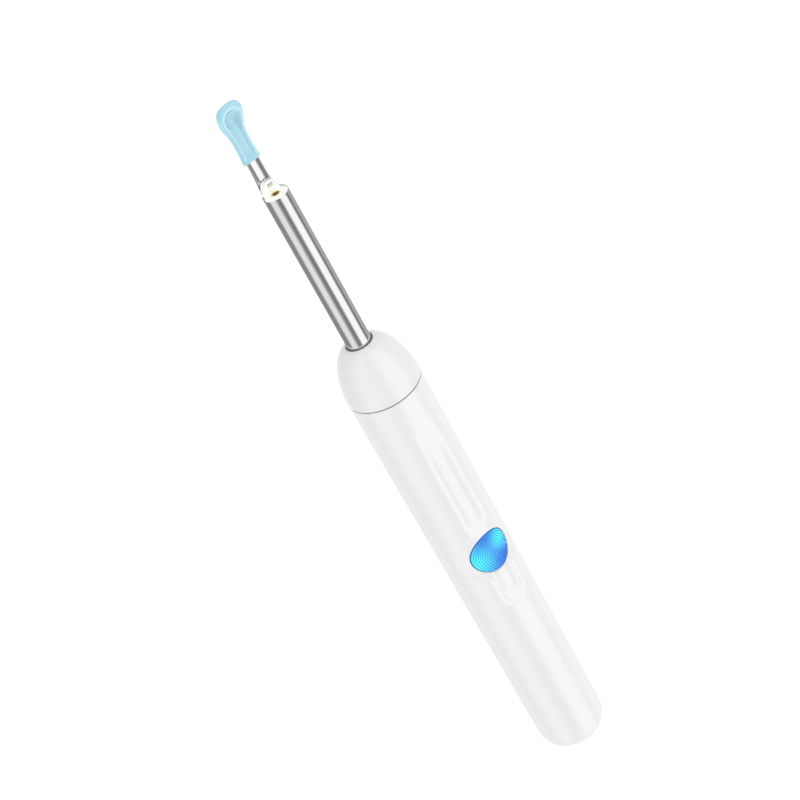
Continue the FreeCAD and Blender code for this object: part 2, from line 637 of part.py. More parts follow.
# half width, half depth, centre y and z up the sleeve and into the bowl
SPOON_STATIONS = ((1.58, 0.71, SLEEVE_Y, SPOON_MOUTH_Z), (1.47, 0.74, SLEEVE_Y, 133.0),
                  (1.41, 0.78, SLEEVE_Y, 134.6), (1.43, 0.81, SLEEVE_Y, 135.9), (1.57, 0.84, 1.71, 136.9),
                  (1.85, 0.84, 1.53, 137.8), (2.12, 0.85, 1.16, 138.8), (2.27, 0.84, 0.73, 139.7),
                  (2.28, 0.78, 0.34, 140.4), (2.09, 0.67, 0.00, 141.15), (1.55, 0.46, -0.36, 141.85),
                  (0.75, 0.18, -0.58, SPOON_TIP_Z))
SCOOP_HALF = (1.6, 0.95, 1.95)    # half sizes of the hollow in the bowl
SCOOP_LEAN_DEG = 27
SCOOP_AT = V(0, -0.33, 139.4)


def oval(half_w, half_d, y, z):
    """An ellipse in a plane across Z, as a wire."""
    if half_w >= half_d:
        curve = Part.Ellipse(V(half_w, y, z), V(0, y + half_d, z), V(0, y, z))
    else:
        curve = Part.Ellipse(V(0, y + half_d, z), V(-half_w, y, z), V(0, y, z))
    return Part.Wire(curve.toShape())


def ear_spoon():
    skin = Part.makeLoft([oval(*s) for s in SPOON_STATIONS], True, False)
    scoop = Part.makeSphere(1.0, V(0, 0, 0))
    reshape = FreeCAD.Matrix()
    reshape.scale(*SCOOP_HALF)
    scoop = scoop.transformGeometry(reshape)
    scoop.rotate(V(0, 0, 0), V(1, 0, 0), SCOOP_LEAN_DEG)
    scoop.translate(SCOOP_AT)
    socket = ring(TUBE_IN_R - SOCKET_CLEAR, TUBE_R + SOCKET_CLEAR, SPOON_MOUTH_Z - 1, TONGUE_TOP_Z + 0.1)
    half = TONGUE_HALF_W + SOCKET_CLEAR
    socket = socket.common(block(-half, half, 0, 3, SPOON_MOUTH_Z - 1, TONGUE_TOP_Z + 0.1))
    return skin.cut([scoop, socket])


# ---- write one STEP per sub-part ------------------------------------------------------------------------
NODES = [body_shell, nose_cone, seam_gasket, nose_o_ring, tube_collar, retaining_nut, tube_seal, probe_tube,
         light_guide, ramp_led, lens_barrel, camera_lens, image_sensor, sensor_board, led_board, probe_leds,
         camera_flex, flex_connector, main_board, chassis, board_screws, battery, battery_tape,
         protection_board, battery_pads, rf_shield, wifi_chip, crystal, charger_chip, flash_chip,
         power_inductors, motion_sensor, chip_antenna, status_leds, chip_capacitors, tact_switch,
         switch_plunger, button_cap, usb_shell, usb_tongue, usb_contacts, port_gasket, ear_spoon]


def main():
    os.makedirs("parts", exist_ok=True)
    made = {f.__name__: f() for f in NODES}
    made["battery_lead_black"] = battery_lead(LEAD_X[0])
    made["battery_lead_red"] = battery_lead(LEAD_X[1])
    for name, shape in sorted(made.items()):
        shape.exportStep("parts/" + name + ".step")
        print(f"{name:20s} solids {len(shape.Solids)} valid {shape.isValid()} volume {shape.Volume:9.3f} mm3")


main()
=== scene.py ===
"""Looks of the camera ear wax cleaner: materials, fine pieces, light and camera."""
import bpy
import bmesh
import json
import math
import numpy as np
from mathutils import Matrix, Vector


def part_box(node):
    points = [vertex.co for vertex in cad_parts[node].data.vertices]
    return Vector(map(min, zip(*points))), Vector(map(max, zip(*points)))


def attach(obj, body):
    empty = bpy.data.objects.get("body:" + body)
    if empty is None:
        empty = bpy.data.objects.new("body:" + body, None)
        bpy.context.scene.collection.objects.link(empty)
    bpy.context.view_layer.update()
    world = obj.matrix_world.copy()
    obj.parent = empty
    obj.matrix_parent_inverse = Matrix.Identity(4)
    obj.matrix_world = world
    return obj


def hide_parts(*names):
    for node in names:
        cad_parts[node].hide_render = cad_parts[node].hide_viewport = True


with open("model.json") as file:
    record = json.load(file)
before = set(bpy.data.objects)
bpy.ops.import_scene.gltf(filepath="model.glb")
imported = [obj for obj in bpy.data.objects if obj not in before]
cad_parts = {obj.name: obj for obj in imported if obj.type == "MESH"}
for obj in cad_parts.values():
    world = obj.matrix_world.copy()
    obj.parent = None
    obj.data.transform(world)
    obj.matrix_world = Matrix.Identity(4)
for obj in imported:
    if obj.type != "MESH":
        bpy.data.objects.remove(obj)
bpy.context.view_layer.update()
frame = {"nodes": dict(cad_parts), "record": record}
nodes = frame["nodes"]
MM = 0.001

# ---- sizes read off the frame ---------------------------------------------------------------------
BODY_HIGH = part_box("body_shell")[1]
R = BODY_HIGH.x
SHELL_TOP = BODY_HIGH.z
NOSE_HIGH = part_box("nose_cone")[1].z
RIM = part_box("camera_lens")[1].z
TUBE_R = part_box("probe_tube")[1].x
BUTTON_LOW, BUTTON_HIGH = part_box("button_cap")
BUTTON_Z = (BUTTON_LOW.z + BUTTON_HIGH.z) / 2
PORT_LOW, PORT_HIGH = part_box("usb_shell")

# ---- shader helpers ---------------------------------------------------------------------------------


class Shader:
    """One material's node tree, with short ways to add the nodes used here."""

    def __init__(self, name):
        self.mat = bpy.data.materials.new(name)
        self.mat.use_nodes = True
        self.tree = self.mat.node_tree
        self.bsdf = self.tree.nodes["Principled BSDF"]
        self.coords = self.node("ShaderNodeTexCoord").outputs["Object"]

    def node(self, kind, **settings):
        made = self.tree.nodes.new(kind)
        for key, value in settings.items():
            setattr(made, key, value)
        return made

    def plug(self, socket, value):
        if isinstance(value, bpy.types.NodeSocket):
            self.tree.links.new(value, socket)
        else:
            socket.default_value = value

    def set(self, **values):
        """Principled inputs by name, with _ for a space."""
        for key, value in values.items():
            self.plug(self.bsdf.inputs[key.replace("_", " ")], value)
        return self

    def math(self, operation, *values):
        made = self.node("ShaderNodeMath", operation=operation)
        for socket, value in zip(made.inputs, values):
            self.plug(socket, value)
        return made.outputs[0]

    def xyz(self, vector=None):
        made = self.node("ShaderNodeSeparateXYZ")
        self.plug(made.inputs[0], vector or self.coords)
        return made.outputs

    def off_axis(self):
        """Distance from the pen's axis."""
        x, y, _ = self.xyz()
        squares = self.math("ADD", self.math("MULTIPLY", x, x), self.math("MULTIPLY", y, y))
        return self.math("SQRT", squares)

    def attribute(self, name):
        return self.node("ShaderNodeAttribute", attribute_name=name).outputs["Fac"]

    def stretch(self, scale):
        made = self.node("ShaderNodeMapping")
        self.plug(made.inputs["Vector"], self.coords)
        made.inputs["Scale"].default_value = scale
        return made.outputs[0]

    def noise(self, size_mm, detail=2.0, rough=0.5, vector=None):
        """Noise whose features are about size_mm across."""
        made = self.node("ShaderNodeTexNoise")
        self.plug(made.inputs["Vector"], vector or self.coords)
        made.inputs["Scale"].default_value = 1 / (size_mm * MM)
        made.inputs["Detail"].default_value = detail
        made.inputs["Roughness"].default_value = rough
        return made.outputs["Fac"]

    def cells(self, size_mm, feature="F1", vector=None):
        made = self.node("ShaderNodeTexVoronoi", feature=feature)
        self.plug(made.inputs["Vector"], vector or self.coords)
        made.inputs["Scale"].default_value = 1 / (size_mm * MM)
        return made.outputs["Distance"]

    def remap(self, value, low, high, to_low, to_high):
        made = self.node("ShaderNodeMapRange")
        for socket, number in zip(made.inputs, (value, low, high, to_low, to_high)):
            self.plug(socket, number)
        return made.outputs[0]

    def blend(self, fac, a, b):
        made = self.node("ShaderNodeMix", data_type="RGBA")
        self.plug(made.inputs[0], fac)
        for socket, colour in ((made.inputs[6], a), (made.inputs[7], b)):
            self.plug(socket, colour if isinstance(colour, bpy.types.NodeSocket) else (*colour[:3], 1.0))
        return made.outputs[2]

    def facing_away(self, low, high):
        """0 where the surface faces the viewer, 1 where it turns away."""
        away = self.node("ShaderNodeLayerWeight")
        away.inputs["Blend"].default_value = 0.5
        return self.remap(away.outputs["Facing"], low, high, 0.0, 1.0)

    def pale_edge(self, colour, low, high):
        """Turns the gloss into plain scattering where the surface turns away from the viewer."""
        soft = self.node("ShaderNodeBsdfDiffuse")
        soft.inputs["Color"].default_value = (*colour, 1.0)
        mix = self.node("ShaderNodeMixShader")
        self.plug(mix.inputs[0], self.facing_away(low, high))
        self.plug(mix.inputs[1], self.bsdf.outputs[0])
        self.plug(mix.inputs[2], soft.outputs[0])
        self.plug(self.tree.nodes["Material Output"].inputs["Surface"], mix.outputs[0])
        return self

    def bump(self, height, depth_um, strength=1.0):
        made = self.node("ShaderNodeBump")
        made.inputs["Strength"].default_value = strength
        made.inputs["Distance"].default_value = depth_um * 1e-6
        self.plug(made.inputs["Height"], height)
        self.plug(self.bsdf.inputs["Normal"], made.outputs[0])
        return self


def shade(colour, gain):
    return tuple(min(1.0, c * gain) for c in colour[:3])


def moulded(name, colour, rough=0.35, grain_mm=0.12, depth_um=4.0, mottle=0.05, gloss_coat=0.0):
    """Moulded plastic or rubber: faint mottling, a fine skin texture, uneven gloss."""
    s = Shader(name)
    cloud = s.noise(grain_mm * 22, 3)
    skin = s.noise(grain_mm, 2)
    s.set(Base_Color=s.blend(cloud, shade(colour, 1 - mottle), shade(colour, 1 + mottle)),
          Roughness=s.remap(skin, 0.3, 0.7, rough * 0.85, rough * 1.15), Coat_Weight=gloss_coat)
    s.bsdf.inputs["Coat Roughness"].default_value = 0.06
    return s.bump(skin, depth_um)


def metal(name, colour, rough=0.25, along=(1, 1, 0.02), line_mm=0.05, depth_um=1.5, stain=0.06):
    """Metal with fine lines along one direction and slow colour change."""
    s = Shader(name)
    lines = s.noise(line_mm, 2, 0.6, s.stretch(along))
    cloud = s.noise(3.0, 3)
    s.set(Base_Color=s.blend(cloud, shade(colour, 1 - stain), shade(colour, 1 + stain)), Metallic=1.0,
          Roughness=s.remap(lines, 0.3, 0.7, rough * 0.7, rough * 1.3))
    return s.bump(lines, depth_um)


def circuit(name, colour):
    """Solder mask with raised tracks and tinned spots under it."""
    s = Shader(name)
    grid = s.node("ShaderNodeTexBrick")
    s.plug(grid.inputs["Vector"], s.stretch((1, 1, 0.45)))
    grid.inputs["Scale"].default_value = 330
    grid.inputs["Mortar Size"].default_value = 0.06
    grid.inputs["Mortar Smooth"].default_value = 0.3
    tracks = grid.outputs["Fac"]
    spots = s.math("LESS_THAN", s.cells(1.7), 0.16)
    mask = s.blend(tracks, colour, shade(colour, 2.0))
    s.set(Base_Color=s.blend(spots, mask, (0.70, 0.66, 0.52)), Metallic=spots,
          Roughness=0.28, Coat_Weight=0.4)
    return s.bump(s.math("ADD", tracks, spots), 18)


def chip(name, colour):
    """Moulded package with a matt grain."""
    s = Shader(name)
    grain = s.noise(0.05, 4, 0.7)
    s.set(Base_Color=s.blend(grain, shade(colour, 0.7), shade(colour, 1.8)),
          Roughness=s.remap(grain, 0.3, 0.7, 0.45, 0.7))
    return s.bump(grain, 6)


def ceramic_part(name, colour):
    """Fired ceramic body with tinned spots scattered over it."""
    s = Shader(name)
    grain = s.noise(0.08, 3)
    ends = s.math("LESS_THAN", s.cells(0.9), 0.12)
    body = s.blend(grain, shade(colour, 0.8), shade(colour, 1.2))
    s.set(Base_Color=s.blend(ends, body, (0.75, 0.74, 0.72)), Metallic=ends, Roughness=0.35)
    return s.bump(grain, 4)


def pouch_foil(name, colour):
    """Laminated foil: soft creases and small dimples."""
    s = Shader(name)
    creases = s.noise(2.6, 4, 0.6)
    s.set(Base_Color=s.blend(creases, shade(colour, 0.85), shade(colour, 1.1)), Metallic=0.8,
          Roughness=s.remap(s.noise(0.2), 0.3, 0.7, 0.25, 0.42))
    return s.bump(s.math("ADD", creases, s.math("MULTIPLY", s.cells(0.35), 0.2)), 90)


def foam(name, colour):
    s = Shader(name)
    pores = s.cells(0.18)
    s.set(Base_Color=s.blend(pores, shade(colour, 0.6), colour), Roughness=0.9)
    return s.bump(pores, 60)


# ---- the materials that show ----------------------------------------------------------------------
WHITE = (0.80, 0.80, 0.803)
WHITE_EDGE = (0.79, 0.79, 0.79)


def white_shell():
    """Glossy white ABS with the faintest orange peel."""
    s = Shader("white_shell")
    cloud = s.noise(9.0, 2)
    peel = s.noise(0.9, 2)
    fine = s.noise(0.06, 2)
    s.set(Base_Color=s.blend(cloud, shade(WHITE, 0.985), shade(WHITE, 1.01)), Coat_Weight=1.0,
          Roughness=s.remap(fine, 0.3, 0.7, 0.20, 0.28))
    s.bsdf.inputs["Coat Roughness"].default_value = 0.10
    s.bsdf.inputs["Coat IOR"].default_value = 1.5
    s.pale_edge(WHITE_EDGE, 0.30, 0.62)
    return s.bump(s.math("ADD", peel, s.math("MULTIPLY", fine, 0.1)), 0.8)


def white_nose():
    """The same white with a finer, less glossy skin."""
    s = Shader("white_nose")
    cloud = s.noise(6.0, 2)
    fine = s.noise(0.07, 3)
    s.set(Base_Color=s.blend(cloud, shade(WHITE, 0.975), shade(WHITE, 1.0)), Coat_Weight=0.9,
          Roughness=s.remap(fine, 0.3, 0.7, 0.34, 0.42))
    s.bsdf.inputs["Coat Roughness"].default_value = 0.18
    s.pale_edge(WHITE_EDGE, 0.35, 0.75)
    return s.bump(fine, 0.6)


def polished_steel():
    """Drawn and polished tube: hairlines along the tube and round it."""
    s = Shader("steel_tube")
    drawn = s.noise(0.05, 2, 0.6, s.stretch((1, 1, 0.01)))
    turned = s.noise(0.06, 2, 0.6, s.stretch((0.05, 0.05, 1)))
    both = s.math("ADD", drawn, s.math("MULTIPLY", turned, 0.5))
    cloud = s.noise(4.0, 3)
    s.set(Base_Color=s.blend(cloud, (0.79, 0.785, 0.785), (0.85, 0.845, 0.84)), Metallic=1.0,
          Roughness=s.remap(both, 0.45, 1.05, 0.10, 0.17))
    return s.bump(both, 0.12)


def milky_guide():
    """Milky light guide, faintly cloudy, with a faint painted glow and a painted dark outline where it
    turns away from the viewer.
    """
    s = Shader("clear_guide")
    cloud = s.noise(0.5, 3)
    face = s.blend(cloud, (0.89, 0.89, 0.89), (0.95, 0.95, 0.94))
    # painted dark outline where the surface turns away from the viewer, and a faint painted glow from the
    # emission
    s.set(Base_Color=s.blend(s.facing_away(0.78, 0.92), face, (0.16, 0.16, 0.17)),
          Roughness=s.remap(cloud, 0.3, 0.7, 0.28, 0.38), Subsurface_Weight=0.1,
          Emission_Color=(1.0, 0.99, 0.96, 1.0), Emission_Strength=0.09)
    s.bsdf.inputs["Subsurface Scale"].default_value = 0.4 * MM
    return s.bump(s.noise(0.05, 2), 0.5)


def lens_glass():
    """Dark coated glass, browner towards its edge."""
    s = Shader("lens_glass")
    edge = s.remap(s.off_axis(), 0.2 * MM, 0.6 * MM, 0.0, 1.0)
    dust = s.noise(0.03, 2)
    s.set(Base_Color=s.blend(edge, (0.010, 0.007, 0.003), (0.16, 0.085, 0.010)), Specular_IOR_Level=0.2,
          Roughness=s.remap(dust, 0.3, 0.7, 0.10, 0.16))
    return s.bump(dust, 0.05)


def barrel_ring():
    """Barrel: brown inside, a warm golden ring at the mouth, fading to pale outside."""
    s = Shader("lens_barrel")
    out = s.remap(s.off_axis(), 0.50 * MM, 0.78 * MM, 0.0, 1.0)
    grain = s.noise(0.04, 2)
    s.set(Base_Color=s.blend(out, (0.50, 0.30, 0.02), (0.93, 0.82, 0.38)),
          Roughness=s.remap(grain, 0.3, 0.7, 0.25, 0.4))
    return s.bump(grain, 1)


def lamp():
    """Lamp package: phosphor behind clear resin, painted a dull grey-green for the shade it sits in, and
    darker along its top edge, more painted shade.
    """
    s = Shader("led_phosphor")
    grain = s.noise(0.10, 4, 0.7)
    # painted shade: the colour darkens towards the top edge of the package
    shaded_top = s.remap(s.xyz()[2], RIM + 1.1 * MM, RIM + 1.6 * MM, 0.0, 1.0)
    body = s.blend(grain, (0.52, 0.52, 0.38), (0.78, 0.77, 0.60))
    s.set(Base_Color=s.blend(shaded_top, body, (0.24, 0.23, 0.17)), Roughness=0.25, Coat_Weight=0.5)
    return s.bump(grain, 6)


def silicone():
    """Translucent light blue silicone, with painted light: a painted highlight line on the rim's crest with
    a faint painted glow, paler where it turns from the viewer, painted shade on the hollow's left wall, a
    painted glint on the middle of its floor, and a painted dark outline at the silhouette.
    """
    s = Shader("spoon_silicone")
    cloud = s.noise(1.4, 2)
    skin = s.noise(0.05, 2)
    rim, wall, thin = (s.attribute(name) for name in ("rim", "wall", "thin"))
    body = s.blend(cloud, (0.33, 0.64, 0.77), (0.38, 0.69, 0.81))
    # painted highlight: the rim's crest line and the surfaces turning from the viewer are made paler; the
    # rim also gets a faint painted glow below
    turned = s.facing_away(0.15, 0.55)
    lit = s.blend(s.math("MAXIMUM", rim, s.math("MULTIPLY", turned, 0.75)), body, (0.60, 0.90, 0.97))
    # painted shade on the left wall of the hollow
    lit = s.blend(s.math("MULTIPLY", wall, 0.8), lit, (0.22, 0.56, 0.68))
    # painted glint: paler in the middle of the hollow's floor
    lit = s.blend(s.math("MULTIPLY", thin, 0.55), lit, (0.46, 0.69, 0.80))
    # painted dark outline where the surface turns right away from the viewer
    outline = s.facing_away(0.72, 0.95)
    s.set(Base_Color=s.blend(outline, lit, (0.22, 0.50, 0.62)),
          Roughness=s.remap(skin, 0.3, 0.7, 0.12, 0.20), Transmission_Weight=0.08, Subsurface_Weight=0.15,
          Coat_Weight=1.0, Emission_Color=(0.6, 0.9, 1.0, 1.0),
          Emission_Strength=s.math("MULTIPLY", rim, 0.05))
    s.bsdf.inputs["Subsurface Scale"].default_value = 0.6 * MM
    s.bsdf.inputs["Subsurface Radius"].default_value = (0.5, 0.9, 1.0)
    s.bsdf.inputs["Coat Roughness"].default_value = 0.08
    s.bsdf.inputs["IOR"].default_value = 1.41
    return s.bump(skin, 0.5)


def button_gloss():
    """Painted reflections: cyan pools at the left and the upper right, deeper blue pools between; painted
    shade in the valleys of the ridges and round the cap's edge; a faint painted glow in its own colours.
    """
    s = Shader("button_blue")
    x, _, z = s.xyz()

    def reflection_pool(x_mm, z_mm, reach_mm):
        dx = s.math("SUBTRACT", x, x_mm * MM)
        dz = s.math("SUBTRACT", z, BUTTON_Z + z_mm * MM)
        away = s.math("SQRT", s.math("ADD", s.math("MULTIPLY", dx, dx), s.math("MULTIPLY", dz, dz)))
        made = s.node("ShaderNodeMapRange", interpolation_type="SMOOTHSTEP")
        for socket, number in zip(made.inputs, (away, 0.0, reach_mm * MM, 1.0, 0.0)):
            s.plug(socket, number)
        return made.outputs[0]

    # painted reflections: deeper blue and cyan pools laid on the pad by position
    dark = s.math("MAXIMUM", reflection_pool(1.4, -3.2, 4.2), reflection_pool(-0.3, 4.2, 3.2))
    cyan_reflection = s.math("MAXIMUM", reflection_pool(-3.5, -0.6, 4.6), reflection_pool(2.5, 1.3, 3.2))
    blue = s.blend(dark, (0.06, 0.42, 0.95), (0.008, 0.20, 0.82))
    reflected_tint = s.blend(cyan_reflection, blue, (0.08, 1.0, 1.0))
    ridge = s.attribute("ridge")
    # painted shade: darker in the valleys of the ridges
    valley_shade = s.blend(cyan_reflection, (0.0, 0.055, 0.36), (0.0, 0.22, 0.62))
    lined = s.blend(s.math("MULTIPLY", ridge, 0.74), reflected_tint, valley_shade)
    # painted shade: dark at the cap's edge and on the parts below it, for the shade in the gap round the
    # cap
    gap_shaded = s.blend(s.remap(ridge, 1.05, 1.8, 0.0, 0.9), lined, (0.0, 0.10, 0.20))
    grain = s.noise(0.08, 2)
    # the pad also gets a faint painted glow in its own colours
    s.set(Base_Color=gap_shaded, Roughness=s.remap(grain, 0.3, 0.7, 0.24, 0.32), Coat_Weight=0.1,
          Emission_Color=gap_shaded, Emission_Strength=0.12)
    s.bsdf.inputs["Coat Roughness"].default_value = 0.08
    return s.bump(grain, 0.6)


MATERIALS = {
    "white_shell": white_shell(),
    "white_nose": white_nose(),
    "dark_seal": moulded("dark_seal", (0.16, 0.16, 0.17), 0.5, 0.05, 2.0),
    "steel_tube": polished_steel(),
    "turned_metal": metal("turned_metal", (0.74, 0.60, 0.34), 0.25, (0.03, 0.03, 1), 0.06),
    "clear_guide": milky_guide(),
    "lens_glass": lens_glass(),
    "lens_barrel": barrel_ring(),
    "led_phosphor": lamp(),
    "led_white": moulded("led_white", (0.88, 0.82, 0.50), 0.2, 0.05, 2.0, 0.1, 0.5),
    "board_green": circuit("board_green", (0.015, 0.16, 0.06)),
    "flex_amber": circuit("flex_amber", (0.50, 0.22, 0.03)),
    "connector_tan": moulded("connector_tan", (0.66, 0.56, 0.40), 0.45),
    "chip_black": chip("chip_black", (0.03, 0.03, 0.034)),
    "can_metal": metal("can_metal", (0.68, 0.68, 0.67), 0.3, (1, 0.02, 1), 0.05),
    "ceramic_part": ceramic_part("ceramic_part", (0.50, 0.36, 0.22)),
    "ferrite": moulded("ferrite", (0.08, 0.08, 0.085), 0.6, 0.06, 8.0, 0.15),
    "gold_contact": metal("gold_contact", (0.90, 0.66, 0.28), 0.18, (1, 1, 0.05), 0.04),
    "solder": metal("solder", (0.72, 0.72, 0.73), 0.3, (1, 1, 1), 0.2, 8.0),
    "inner_frame": moulded("inner_frame", (0.07, 0.07, 0.075), 0.55, 0.09, 8.0, 0.12),
    "screw_steel": metal("screw_steel", (0.50, 0.50, 0.51), 0.3, (1, 0.05, 1), 0.05),
    "cell_wrap": pouch_foil("cell_wrap", (0.70, 0.71, 0.74)),
    "foam_tape": foam("foam_tape", (0.82, 0.82, 0.78)),
    "lead_black": moulded("lead_black", (0.02, 0.02, 0.02), 0.4, 0.05, 2.0),
    "lead_red": moulded("lead_red", (0.60, 0.02, 0.015), 0.4, 0.05, 2.0),
    "switch_metal": metal("switch_metal", (0.60, 0.60, 0.61), 0.28, (0.03, 1, 1), 0.05),
    "switch_black": moulded("switch_black", (0.03, 0.03, 0.03), 0.5, 0.06, 3.0),
    "button_blue": button_gloss(),
    "port_steel": metal("port_steel", (0.64, 0.64, 0.65), 0.22, (1, 1, 0.03), 0.05),
    "port_black": moulded("port_black", (0.02, 0.02, 0.02), 0.45, 0.06, 3.0),
    "spoon_silicone": silicone(),
}
for part in frame["record"]["subparts"]:
    cad_node = nodes[part["node"]]
    cad_node.data.materials.clear()
    cad_node.data.materials.append(MATERIALS[part["material_slot"]].mat)


# ---- mesh helpers ------------------------------------------------------------------------------------
def new_piece(name, verts, faces, body, slot, *replaced):
    mesh = bpy.data.meshes.new(name)
    mesh.from_pydata([tuple(v) for v in verts], [], [tuple(f) for f in faces])
    mesh.update()
    mesh.polygons.foreach_set("use_smooth", [True] * len(mesh.polygons))
    piece = bpy.data.objects.new(name, mesh)
    bpy.context.scene.collection.objects.link(piece)
    mesh.materials.append(MATERIALS[slot].mat)
    if replaced:
        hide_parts(*replaced)
    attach(piece, body)
    return piece


def add_values(piece, **named):
    """Point attributes for the materials; points past the end of a list get 0."""
    count = len(piece.data.vertices)
    for name, values in named.items():
        filled = [float(v) for v in values] + [0.0] * (count - len(values))
        piece.data.attributes.new(name, "FLOAT", "POINT").data.foreach_set("value", filled)


def grid_faces(rows, cols, closed=True, start=0):
    """Quads of a grid of points laid out row by row; closed joins the last column to the first."""
    faces = []
    for i in range(rows - 1):
        for j in range(cols if closed else cols - 1):
            k = (j + 1) % cols
            faces.append((start + i * cols + j, start + i * cols + k,
                          start + (i + 1) * cols + k, start + (i + 1) * cols + j))
    return faces


def smoothstep(x, low, high):
    t = np.clip((x - low) / (high - low), 0, 1)
    return t * t * (3 - 2 * t)


# ---- handle skin ------------------------------------------------------------------------------------
TAIL_ROUND = R / 2
GROOVE_W = 2.6 * MM        # half width of the finger groove, edge rounding included
GROOVE_FLAT = 0.5 * MM     # half width of its floor
GROOVE_DEEP = 0.82 * MM
GROOVE_ENDS = (43.1 * MM, 84.0 * MM)
GROOVE_FADE = (71 * MM, 84.5 * MM)     # towards the seam it dies out
GROOVE_RISE = (55.7 * MM, 59.5 * MM)   # above the button the groove starts from nothing
DISH_R = 5.6 * MM
DISH_LOW_R = 2.6 * MM
DISH_LOW_Z = 41.8 * MM
DISH_DEEP = 0.25 * MM
DISH_SOFT = 0.85 * MM
DISH_FILLET = 0.8 * MM
HOLE_R = 4.02 * MM
BORE_R = 5.2 * MM
FLOOR_Z = 1.8 * MM
ROWS_Z = (38 * MM, 60 * MM, 84 * MM)   # where the spacing of the skin's rows changes
PORT_GAP = 0.24 * MM


def profile_radius(z):
    """The handle's outside radius at height z, with the rounded tail."""
    drop = np.clip(TAIL_ROUND - z, 0, TAIL_ROUND)
    return R - TAIL_ROUND + np.sqrt(TAIL_ROUND ** 2 - drop ** 2)


def front_depth(x, z):
    """How far the finger groove and the dish round the button go into the front at (x, z)."""
    near_z = np.clip(z, *GROOVE_ENDS)
    away = np.hypot(x, z - near_z)
    groove = GROOVE_DEEP * (1 - smoothstep(away, GROOVE_FLAT, GROOVE_W))
    over_button = (z > BUTTON_Z) * (1 - smoothstep(z, *GROOVE_RISE))
    groove = groove * (1 - over_button) * (1 - smoothstep(z, *GROOVE_FADE))
    round_dish = np.hypot(x, z - BUTTON_Z) - DISH_R
    low_dish = np.hypot(x, z - np.clip(z, DISH_LOW_Z, BUTTON_Z)) - DISH_LOW_R
    # union of the two outlines, with its inner corners filled
    fill = DISH_FILLET
    overlap = np.clip(0.5 + 0.5 * (low_dish - round_dish) / fill, 0, 1)
    outline = low_dish + (round_dish - low_dish) * overlap - fill * overlap * (1 - overlap)
    dish = DISH_DEEP * smoothstep(-outline, -DISH_SOFT / 2, DISH_SOFT / 2)
    soft = 0.08 * MM
    return 0.5 * (groove + dish + np.sqrt((groove - dish) ** 2 + soft ** 2) - soft)


def skin_point(angle, z):
    """A point of the handle's skin; angle is measured from the front, -Y, towards +X."""
    x = R * np.sin(angle)
    depth = np.where(np.cos(angle) > 0, front_depth(x, z), 0)
    r = profile_radius(z) - depth
    return np.stack([r * np.sin(angle), -r * np.cos(angle), z + 0 * angle], -1)


def skin_normal(angle, z):
    """The skin's outward normal, from small steps along it and up it."""
    da, dz = 1e-4, 1e-6
    along = skin_point(angle + da, z) - skin_point(angle - da, z)
    up = skin_point(angle, z + dz) - skin_point(angle, z - dz)
    n = np.cross(along, up)
    return n / np.linalg.norm(n, axis=-1, keepdims=True)


def spaced(*stops):
    """Numbers through (value, step) stops: from each value to the next at that step."""
    out = []
    for (a, step), (b, _) in zip(stops, stops[1:]):
        count = max(1, round((b - a) / step))
        out += list(np.linspace(a, b, count, endpoint=False))
    return np.array(out + [stops[-1][0]])


def cut(piece, tool):
    """Takes the tool's shape out of the piece and deletes the tool."""
    change = piece.modifiers.new("cut", "BOOLEAN")
    change.operation, change.solver, change.object = "DIFFERENCE", "EXACT", tool
    shaped = bpy.data.meshes.new_from_object(piece.evaluated_get(bpy.context.evaluated_depsgraph_get()))
    piece.modifiers.clear()
    piece.data = shaped
    bpy.data.objects.remove(tool)


def sharpen(piece, angle):
    """Edges that turn by more than the angle are drawn sharp."""
    made = bmesh.new()
    made.from_mesh(piece.data)
    bmesh.ops.recalc_face_normals(made, faces=made.faces)
    for face in made.faces:
        face.smooth = True
    for edge in made.edges:
        edge.smooth = edge.calc_face_angle(0) < angle
    made.to_mesh(piece.data)
    made.free()


def tool_prism(outline, low, high, to_world):
    """A closed prism over an outline of (u, v) points."""
    count = len(outline)
    verts = [to_world(u, v, w) for w in (low, high) for u, v in outline]
    faces = grid_faces(2, count) + [tuple(reversed(range(count))), tuple(range(count, 2 * count))]
    mesh = bpy.data.meshes.new("tool")
    mesh.from_pydata(verts, [], faces)
    made = bmesh.new()
    made.from_mesh(mesh)
    bmesh.ops.recalc_face_normals(made, faces=made.faces)
    made.to_mesh(mesh)
    made.free()
    tool = bpy.data.objects.new("tool", mesh)
    bpy.context.scene.collection.objects.link(tool)
    return tool


def facing_front(u, v, w):
    """Stands an outline up in the XZ plane."""
    return (u, w, v)


def circle(radius, count, cx=0.0, cy=0.0):
    turns = [2 * math.pi * i / count for i in range(count)]
    return [(cx + radius * math.cos(t), cy + radius * math.sin(t)) for t in turns]


def obround(width, height, count=24):
    half, r = (width - height) / 2, height / 2
    quarter = math.pi / 2
    right = [(half + r * math.cos(a), r * math.sin(a)) for a in np.linspace(-quarter, quarter, count)]
    return right + [(-x, -y) for x, y in right]


